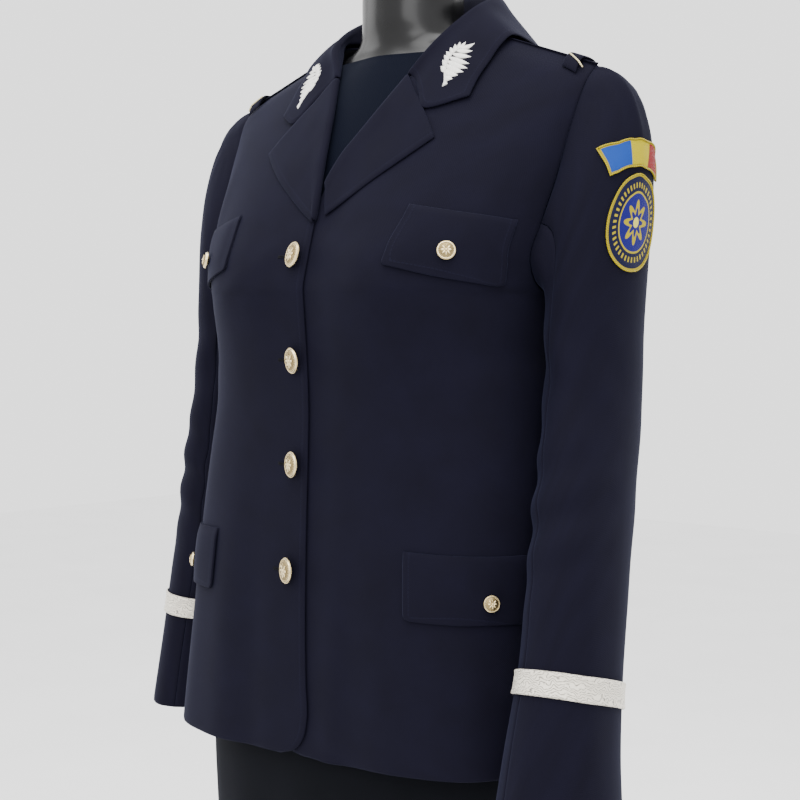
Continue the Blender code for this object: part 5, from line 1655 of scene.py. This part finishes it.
def sleeve_mark(name, node, look, slot_name, cells, uppers):
    """A mark sewn on the left sleeve. Its cells are (turn, height, plan x, plan y)."""
    fine, sheet, turns, folds = uppers[1]
    cells = np.array(cells)
    across = np.interp(cells[..., 0], turns, range(len(turns)))
    up = np.array([
        [sheet.up_to(float(a), float(z)) for a, z in zip(*row)] for row in zip(across, cells[..., 1])
    ])
    points, normals = laid(fine, across, up, SEWN_MARK_LIFT, folds)
    sew(name, (points, normals), MARK_CLOTH, (look,), slot_name, ["sleeve_upper_left_cloth"], [node], "laid",
        plan=cells[..., 2:])
    return [points[place] + normals[place] * 0.0002 for place in border_walk(*points.shape[:2])]


SEWN_MARK_LIFT = 0.0015
PATCH_ROWS, PATCH_COLUMNS = 29, 25
TAB_ROWS, TAB_COLUMNS = 13, 31
CORDING_RADIUS = 0.0007
CORDING_SIDES = 8


def make_marks(uppers):
    cells = []
    # Rows are closer at the badge's top and foot, and stop just short of both
    for k in range(PATCH_ROWS):
        level = math.cos(math.pi * (k + 0.35) / (PATCH_ROWS - 0.3))
        half = math.sqrt(max(1.0 - level**2, 0.0))
        row = []
        for step in np.linspace(-1.0, 1.0, PATCH_COLUMNS):
            turn = MARK_TURN + PATCH_REACH[0] * half * step
            row.append((turn, PATCH_HEIGHT + PATCH_REACH[1] * level, -half * step, level))
        cells.append(row)
    edge = sleeve_mark("sleeve_patch_badge", "sleeve_patch", PATCH, "patch_cloth", cells, uppers)
    make_cording("sleeve_patch_edge", edge, GOLD_EDGE, "flag_cloth", True)
    cells = []
    levels = [level for level, _ in TAB_LEVELS]
    for z in np.linspace(levels[0], levels[-1], TAB_ROWS):
        reach = float(np.interp(z, levels, [wide for _, wide in TAB_LEVELS]))
        share = (z - levels[0]) / (levels[-1] - levels[0])
        cells.append([
            (MARK_TURN + reach * step, z - TAB_BOW * step**2, -step, 2 * share - 1)
            for step in np.linspace(-1.0, 1.0, TAB_COLUMNS)
        ])
    edge = sleeve_mark("flag_tab_badge", "flag_tab", FLAG, "flag_cloth", cells, uppers)
    make_cording("flag_tab_edge", edge, GOLD_EDGE, "flag_cloth", True)


def make_cording(name, path, look, slot_name, closed):
    """A round overlocked edge or piping along a path."""
    path = np.array([tuple(point) for point in path])
    keep = [0] + [k for k in range(1, len(path)) if np.linalg.norm(path[k] - path[k - 1]) > 0.0002]
    path = path[keep]
    ahead, behind = np.roll(path, -1, axis=0), np.roll(path, 1, axis=0)
    if not closed:
        ahead[-1], behind[0] = path[-1], path[0]
    way = unit(ahead - behind)
    out = unit(path - path.mean(axis=0))
    side = unit(np.cross(way, out))
    out = unit(np.cross(side, way))
    around = CORDING_SIDES
    turns = math.tau * np.arange(around) / around
    vertices = (
        path[:, None] + CORDING_RADIUS
        * (np.cos(turns)[None, :, None] * out[:, None] + np.sin(turns)[None, :, None] * side[:, None])
    ).reshape(-1, 3)
    rows = len(path) + 1 if closed else len(path)
    faces = [[k % len(vertices) for k in face] for face in grid_faces(rows, around, True)]
    if not closed:
        faces += [list(range(around)), list(range(len(vertices) - around, len(vertices)))[::-1]]
    lengths = np.concatenate(([0.0], np.cumsum(np.linalg.norm(np.diff(path, axis=0), axis=1))))
    plan = np.stack((np.repeat(lengths, around), np.tile(np.arange(around) * 0.0006, len(path))), axis=-1)
    piece = new_piece(name, vertices, faces, (look,), cloth=plan)
    bpy.ops.object.select_all(action="DESELECT")
    bpy.context.view_layer.objects.active = piece
    piece.select_set(True)
    bpy.ops.object.mode_set(mode="EDIT")
    bpy.ops.mesh.select_all(action="SELECT")
    bpy.ops.mesh.normals_make_consistent(inside=False)
    bpy.ops.object.mode_set(mode="OBJECT")
    piece.select_set(False)
    ride(piece, slot_name)


LOOP_STEP = 0.002
LOOP_BAR_XS = (0.1835, 0.2000)
LOOP_BAR_YS = (0.0035, -0.0010)


def make_loops():
    for side, word in SIDES:
        xs = np.linspace(LOOP_XS[0], LOOP_XS[-1], 7)
        ys = np.linspace(LOOP_YS[0], LOOP_YS[-1], 19)
        rows = []
        for y in ys:
            share = (y - ys[0]) / (ys[-1] - ys[0])
            lift = LOOP_LIFT - (LOOP_LIFT - LOOP_CLOTH - 0.0003) * abs(2 * share - 1) ** 5
            rows.append([shoulder_at(float(x), float(y), lift) for x in xs])
        fine = FineCloth(mirrored(rows, side), body_axis)
        name = f"shoulder_loop_{word}"
        sew(name + "_cloth", fine.grid(*fine.stops(LOOP_STEP)), LOOP_CLOTH, (JACKET_WOOL,), "jacket_wool",
            [f"front_{word}_panel", f"back_{word}_panel"], [name], "laid")
        path = [
            shoulder_at(x, y, LOOP_LIFT + 0.0003 - max(0.0, x - LOOP_XS[-1]) * 0.6)
            for x, y in zip(np.linspace(*LOOP_BAR_XS, 8), np.linspace(*LOOP_BAR_YS, 8))
        ]
        path = mirrored([path], side)[0]
        make_cording(name + "_bar", path, PALE_PIPING, "silver_braid", False)


# Skirt

def skirt_folds(points):
    """Soft flutes in the skirt's lower half."""
    x, y, z = points[..., 0], points[..., 1], points[..., 2]
    turn = np.arctan2(x, -y)
    low = ease(z, 0.86, 0.52)
    rise = low * (0.0022 * np.sin(7.0 * turn + 0.8) + 0.0012 * np.sin(13.0 * turn + 2.2))
    outward = unit(np.stack((x, y, np.zeros_like(x)), axis=-1))
    return points + outward * rise[..., None]


SKIRT_STEP = 0.006


def make_skirt():
    front_turns = [-90.0] + HALF_TURNS + [90.0]
    back_turns = [90.0] + [180.0 + turn for turn in HALF_TURNS if turn <= 0]
    parts = [("skirt_front", front_turns, 1)]
    parts += [(f"skirt_back_{word}", back_turns, side) for side, word in SIDES]
    for name, turns, side in parts:
        rows = [[oval_point(SKIRT_SECTIONS, turn, z) for turn in turns] for z in SKIRT_HEIGHTS]
        rows = trim(rows, SEAM_TRIM * 0.5, SEAM_TRIM * 0.5)
        fine = FineCloth(mirrored(rows, side), body_axis)
        cloth = folded(*fine.grid(*fine.stops(SKIRT_STEP)), skirt_folds)
        sew(name + "_panel", cloth, SKIRT_CLOTH, (SHADED_SKIRT_WOOL, LINING), "skirt_wool", ["waistband_cloth"],
            [name], "hung")
    ring = front_turns[:-1] + [90.0] + [180.0 + turn for turn in HALF_TURNS]
    heights = np.linspace(*WAISTBAND_HEIGHTS, 4)
    rows = [[oval_point(SKIRT_SECTIONS, turn, z) for turn in ring] for z in heights]
    fine = FineCloth(rows, body_axis, True)
    across = np.linspace(0.0, len(ring), 161)[:-1]
    sew("waistband_cloth", fine.grid(across, np.linspace(0.0, 3.0, 7)), SKIRT_CLOTH, (SHADED_SKIRT_WOOL, LINING),
        "skirt_wool", ["form_torso"], ["waistband"], "stretched", closed=True)


# Dress form

# The neck stays bare above this height; the torso wears a knitted cover
FORM_BARE_FROM = 1.414


def make_form():
    """The moulded torso and neck in one shell, in its knitted cover up to the neck."""
    heights = list(FORM_LOW_HEIGHTS) + list(FORM_HIGH_HEIGHTS)
    rings = [form_ring(z) for z in heights]
    rings.append([Vector((point.x, point.y, NECK_TOP)) for point in rings[-1]])
    fine = FineCloth(rings, body_axis, True)
    across = np.linspace(0.0, len(rings[0]), 105)[:-1]
    up = np.linspace(0.0, fine.rows, fine.rows * 4 + 1)
    points, _ = fine.grid(across, up)
    rows, columns = points.shape[:2]
    faces = grid_faces(rows, columns, True)
    faces += [list(range(columns))[::-1], list(range((rows - 1) * columns, rows * columns))]
    piece = new_piece("form_shell", points.reshape(-1, 3), faces, (FORM_BLACK, FORM_COVER))
    for face in piece.data.polygons:
        face.material_index = 1 if FORM_BARE_FROM > face.center.z > FORM_BOTTOM + 0.001 else 0
    piece.data.set_sharp_from_angle(angle=math.radians(50.0))
    ride(piece, "form_gloss_black", "form_torso")


# Hard pieces, modelled from primitives

def standing(side, over, outward, place):
    """The matrix that sets a model on three directions at a place."""
    return Matrix([(*side, 0.0), (*over, 0.0), (*outward, 0.0), (*place, 1.0)]).transposed()


def begin(kind, **size):
    bpy.ops.object.select_all(action="DESELECT")
    getattr(bpy.ops.mesh, f"primitive_{kind}_add")(**size)
    piece = bpy.context.object
    bpy.ops.object.transform_apply(location=True, rotation=True, scale=True)
    return piece


def pick(piece, test):
    """In edit mode, selects the faces whose middle and normal pass the test."""
    bpy.ops.object.mode_set(mode="EDIT")
    bpy.ops.mesh.select_mode(type="FACE")
    bpy.ops.mesh.select_all(action="DESELECT")
    bpy.ops.object.mode_set(mode="OBJECT")
    for face in piece.data.polygons:
        face.select = test(face.center, face.normal)
    bpy.ops.object.mode_set(mode="EDIT")


def drum(radius, low, high, sides, y=0.0):
    """An upright cylinder between two heights, with its top face picked."""
    place = (0.0, y, (low + high) / 2)
    piece = begin("cylinder", vertices=sides, radius=radius, depth=high - low, location=place)
    pick(piece, lambda middle, normal: normal.z > 0.9 and abs(middle.z - high) < 0.0004)
    return piece


def step_up(rise, scale=1.0):
    """Extrudes what is selected up, and widens or narrows it."""
    bpy.ops.mesh.extrude_region_move(TRANSFORM_OT_translate={"value": (0.0, 0.0, rise)})
    if scale != 1.0:
        bpy.ops.transform.resize(value=(scale, scale, 1.0))


def soften(piece, width, segments=3):
    """Rounds the edges of a finished shape."""
    bpy.ops.object.mode_set(mode="OBJECT")
    bevel = piece.modifiers.new("Rounded edges", "BEVEL")
    bevel.width, bevel.segments = width, segments
    bevel.limit_method, bevel.angle_limit = "ANGLE", math.radians(28.0)
    bevel.harden_normals = False
    bpy.ops.object.modifier_apply(modifier=bevel.name)
    bpy.ops.object.shade_smooth_by_angle(angle=math.radians(35.0))


def settle(piece, name, look, slot_name, *nodes):
    piece.name = piece.data.name = name
    piece.data.materials.clear()
    piece.data.materials.append(look)
    ride(piece, slot_name, *nodes)
    piece.select_set(False)


def dome(segments, half_sizes, floor, place, copies):
    """A raised bump, flat below its floor, set at its place and copied round the button."""
    raised = begin("uv_sphere", segments=segments, ring_count=segments // 2 + 2, radius=1.0)
    bpy.ops.object.mode_set(mode="EDIT")
    bpy.ops.mesh.select_all(action="SELECT")
    bpy.ops.transform.resize(value=half_sizes)
    if floor:
        bpy.ops.mesh.bisect(plane_co=(0.0, 0.0, floor), plane_no=UPWARD, clear_inner=True, use_fill=True)
        bpy.ops.mesh.select_all(action="SELECT")
    bpy.ops.transform.translate(value=place)
    if copies > 1:
        bpy.ops.mesh.spin(steps=copies, dupli=True, angle=math.tau, center=(0.0, 0.0, 0.0), axis=UPWARD)
    bpy.ops.object.mode_set(mode="OBJECT")
    bpy.ops.object.shade_smooth()
    return raised


def model_button(radius):
    """A stamped button: a rolled rim, a sunk field and a raised rosette, on a short shank."""
    button = drum(radius, 0.0017, 0.0031, 48)
    bpy.ops.mesh.inset(thickness=radius * 0.06)
    step_up(0.0010, 0.99)
    bpy.ops.mesh.inset(thickness=radius * 0.09)
    step_up(-0.0005)
    for share, rise in ((0.16, 0.0008), (0.20, 0.0007), (0.20, 0.0004), (0.15, 0.0001)):
        bpy.ops.mesh.inset(thickness=radius * share)
        bpy.ops.transform.translate(value=(0.0, 0.0, rise))
    pick(button, lambda middle, normal: normal.z < -0.9)
    bpy.ops.mesh.inset(thickness=radius * 0.45)
    step_up(-0.0017, 0.9)
    soften(button, radius * 0.02, 2)
    petal = dome(12, (radius * 0.115, radius * 0.26, 0.0007), -0.0003, (0.0, radius * 0.34, 0.0053), 8)
    bead = dome(12, (radius * 0.15, radius * 0.15, 0.0011), -0.0004, (0.0, 0.0, 0.0056), 1)
    dot = dome(8, (radius * 0.045, radius * 0.045, 0.0004), None, (0.0, radius * 0.76, 0.0040), 24)
    bpy.ops.object.select_all(action="DESELECT")
    for part in (petal, bead, dot, button):
        part.data.materials.append(BRASS)
    button.data.materials.append(FIELD_BRASS)
    for face in button.data.polygons:
        out = math.hypot(face.center.x, face.center.y) / radius
        face.material_index = 1 if out < 0.84 and face.normal.z > 0.6 and face.center.z > 0.0025 else 0
    for part in (petal, bead, dot, button):
        part.select_set(True)
    bpy.context.view_layer.objects.active = button
    bpy.ops.object.join()
    return button


def place_button(model, name, node, location, normal):
    """A copy of the button with its own mesh, set on the cloth and turned to face outward."""
    mesh = model.data.copy()
    normal = Vector(normal).normalized()
    side = UPWARD.cross(normal).normalized()
    mesh.transform(standing(side, normal.cross(side), normal, location))
    piece = bpy.data.objects.new(name, mesh)
    bpy.context.scene.collection.objects.link(piece)
    ride(piece, "pale_brass", node)


# The weight of a front button turns it down toward the wearer's right, and lifts its other rim
HANG = Vector((-0.40, 0.0, -0.04))
HANG_RISE = 0.0023


def make_buttons():
    radii = (BUTTON_RADIUS, *(radius for _, radius in FLAP_BUTTONS.values()))
    models = {radius: model_button(radius) for radius in radii}
    for side, word in SIDES:
        sheet, fine = FRONT_SHEETS[side], FRONTS[side]
        spots = [
            (f"{name}_button_{word}", models[radius], corner, FLAP_BUTTON_LIFT + 0.0004, Vector())
            for name, (corner, radius) in FLAP_BUTTONS.items()
        ]
        if side < 0:
            spots += [
                (f"front_button_{k}", models[BUTTON_RADIUS], (-BUTTON_X, height), FIT_GAP + HANG_RISE, HANG)
                for k, height in enumerate(BUTTON_HEIGHTS, 1)
            ]
        for name, model, corner, lift, hang in spots:
            across, up = sheet.place(*corner)
            normal = fine.normal(across, up)
            point = torso_folds(fine.point(across, up) + normal * lift)
            place_button(model, name + "_brass", name, point, Vector(normal) + hang)
    for model in models.values():
        bpy.data.objects.remove(model)


BUTTONHOLE_REACH = (-0.0030, 0.0215)
TWIST_DEPTH = 0.0006


def make_buttonholes():
    """A worked hole under each front button, running back from the shank."""
    sheet, fine = FRONT_SHEETS[-1], FRONTS[-1]
    for k, height in enumerate(BUTTON_HEIGHTS, 1):
        start, end = (-BUTTON_X + reach for reach in BUTTONHOLE_REACH)
        low, top = height - BUTTONHOLE_WIDTH / 2, height + BUTTONHOLE_WIDTH / 2
        places = quad_places(sheet, ((start, low), (end, low), (start, top), (end, top)), 2)
        s, t = np.meshgrid(np.linspace(0, 1, 15), np.linspace(0, 1, 7))
        spots = read_places(places, s, t)
        lift = 0.0001 + 0.00045 * np.sin(np.pi * t) ** 0.5 * np.clip(6 * np.sin(np.pi * s), 0, 1)
        cloth = laid(fine, spots[..., 0], spots[..., 1], lift[..., None], torso_folds)
        piece = cloth_wall(f"buttonhole_{k}", *cloth, TWIST_DEPTH, (TWIST,))
        ride(piece, "jacket_wool")


CAP_RADIUS = 0.050
# Heights of the pole's two shallow grooves, and their share of its width
POLE_GROOVES = ((0.395, 0.400), (0.440, 0.445))
GROOVE_WAIST = 0.93
# At the flange's foot, its shoulder and its lip
FLANGE_RADII = (0.034, 0.026, 0.0247)


def make_stand():
    low = NECK_TOP + FIT_GAP
    cap = drum(CAP_RADIUS, low, low + 0.004, 64, NECK_Y)
    step_up(0.008, 0.88)
    step_up(0.004, 0.70)
    bpy.ops.mesh.inset(thickness=0.017)
    step_up(-0.004, 0.96)
    soften(cap, 0.0012)
    settle(cap, "neck_cap_lid", CAP_BLACK, "cap_satin_black", "neck_cap")
    low = BASE_THICKNESS + FIT_GAP
    pole = drum(POLE_RADIUS, low, FORM_BOTTOM - FIT_GAP, 48)
    for height in (height for groove in POLE_GROOVES for height in groove):
        bpy.ops.mesh.select_all(action="SELECT")
        bpy.ops.mesh.bisect(plane_co=(0.0, 0.0, height), plane_no=UPWARD)
    for groove in POLE_GROOVES:
        pick(pole, lambda middle, normal: groove[0] < middle.z < groove[1] and abs(normal.z) < 0.5)
        bpy.ops.transform.resize(value=(GROOVE_WAIST, GROOVE_WAIST, 1.0))
    soften(pole, 0.0006, 2)
    settle(pole, "pole_tube", STEEL, "pole_steel", "pole")
    flange = drum(FLANGE_RADII[0], low, low + 0.006, 64)
    step_up(0.014, FLANGE_RADII[1] / FLANGE_RADII[0])
    step_up(0.002, FLANGE_RADII[2] / FLANGE_RADII[1])
    bpy.ops.mesh.inset(thickness=FLANGE_RADII[2] - POLE_RADIUS - FIT_GAP)
    step_up(-0.012)
    soften(flange, 0.0008)
    settle(flange, "pole_flange_collar", STEEL, "pole_steel", "pole_flange")
    base = drum(BASE_RADIUS, 0.0, BASE_THICKNESS, 160)
    bpy.ops.mesh.inset(thickness=0.012)
    step_up(-0.0006)
    soften(base, 0.0012)
    settle(base, "base_plate", BASE_BLACK, "base_black", "base")


# Everything

ARMHOLES = make_panels()
make_lapels()
make_flaps()
COLLAR = make_collar()
make_sprigs(COLLAR)
UPPERS = make_sleeves(ARMHOLES)
make_marks(UPPERS)
make_loops()
make_skirt()
make_form()
make_buttons()
make_buttonholes()
make_stand()


# Floor, light and camera

def studio():
    bpy.ops.object.select_all(action="DESELECT")
    bpy.ops.mesh.primitive_plane_add(size=14.0, location=(0.0, 0.0, -0.0005))
    floor = bpy.context.object
    floor.name = "studio_floor"
    look, shader, add = new_look("pale studio floor", {"Roughness": 0.85})
    place = add("TexCoord", out="Object")
    cloud = add("TexNoise", {"Vector": place, "Scale": 3.0, "Roughness": 0.55})
    colour = add("Mix", {0: cloud, 6: "#f2f2f2", 7: "#fbfbfb"}, **COLOURS)
    set_inputs(look, shader, {"Base Color": colour})
    floor.data.materials.append(look)
    world = bpy.data.worlds.new("soft white room")
    bpy.context.scene.world = world
    world.use_nodes = True
    backdrop = world.node_tree.nodes["Background"]
    backdrop.inputs["Color"].default_value = (1.0, 1.0, 1.0, 1.0)
    backdrop.inputs["Strength"].default_value = 2.0
    for name, place, size, energy in (
        ("top_softbox", (0.2, -0.5, 3.3), 2.0, 75.0),
        ("key_softbox", (1.6, -2.4, 2.6), 1.8, 62.0),
        ("side_softbox", (-2.4, -1.0, 1.9), 1.6, 17.0),
        ("back_softbox", (0.4, 2.2, 2.3), 1.6, 24.0),
    ):
        light = bpy.data.lights.new(name, "AREA")
        light.size, light.energy = size, energy
        lamp = bpy.data.objects.new(name, light)
        lamp.location = place
        lamp.rotation_euler = (Vector((0.0, 0.0, 1.1)) - Vector(place)).to_track_quat("-Z", "Y").to_euler()
        bpy.context.scene.collection.objects.link(lamp)


CAMERA_TURN = math.radians(39.47)
CAMERA_REACH = 1.364
CAMERA_HEIGHT = 1.157
CAMERA_PITCH = math.radians(-2.55)
CAMERA_ROLL = math.radians(0.35)
CAMERA_LENS = 64.9


def add_camera():
    """The camera at the photograph's angle, height and distance."""
    camera = bpy.data.cameras.new("studio_camera")
    camera.lens, camera.sensor_width, camera.clip_start = CAMERA_LENS, 36.0, 0.01
    ahead = Vector((-math.sin(CAMERA_TURN), math.cos(CAMERA_TURN), 0.0))
    right = Vector((math.cos(CAMERA_TURN), math.sin(CAMERA_TURN), 0.0))
    forward = ahead * math.cos(CAMERA_PITCH) + UPWARD * math.sin(CAMERA_PITCH)
    level_up = UPWARD * math.cos(CAMERA_PITCH) - ahead * math.sin(CAMERA_PITCH)
    side = right * math.cos(CAMERA_ROLL) + level_up * math.sin(CAMERA_ROLL)
    over = level_up * math.cos(CAMERA_ROLL) - right * math.sin(CAMERA_ROLL)
    place = ahead * -CAMERA_REACH + Vector((0.0, 0.0, CAMERA_HEIGHT))
    owner = bpy.data.objects.new("studio_camera", camera)
    owner.matrix_world = standing(side, over, -forward, place)
    bpy.context.scene.collection.objects.link(owner)
    bpy.context.scene.camera = owner


studio()
add_camera()
bpy.context.view_layer.update()
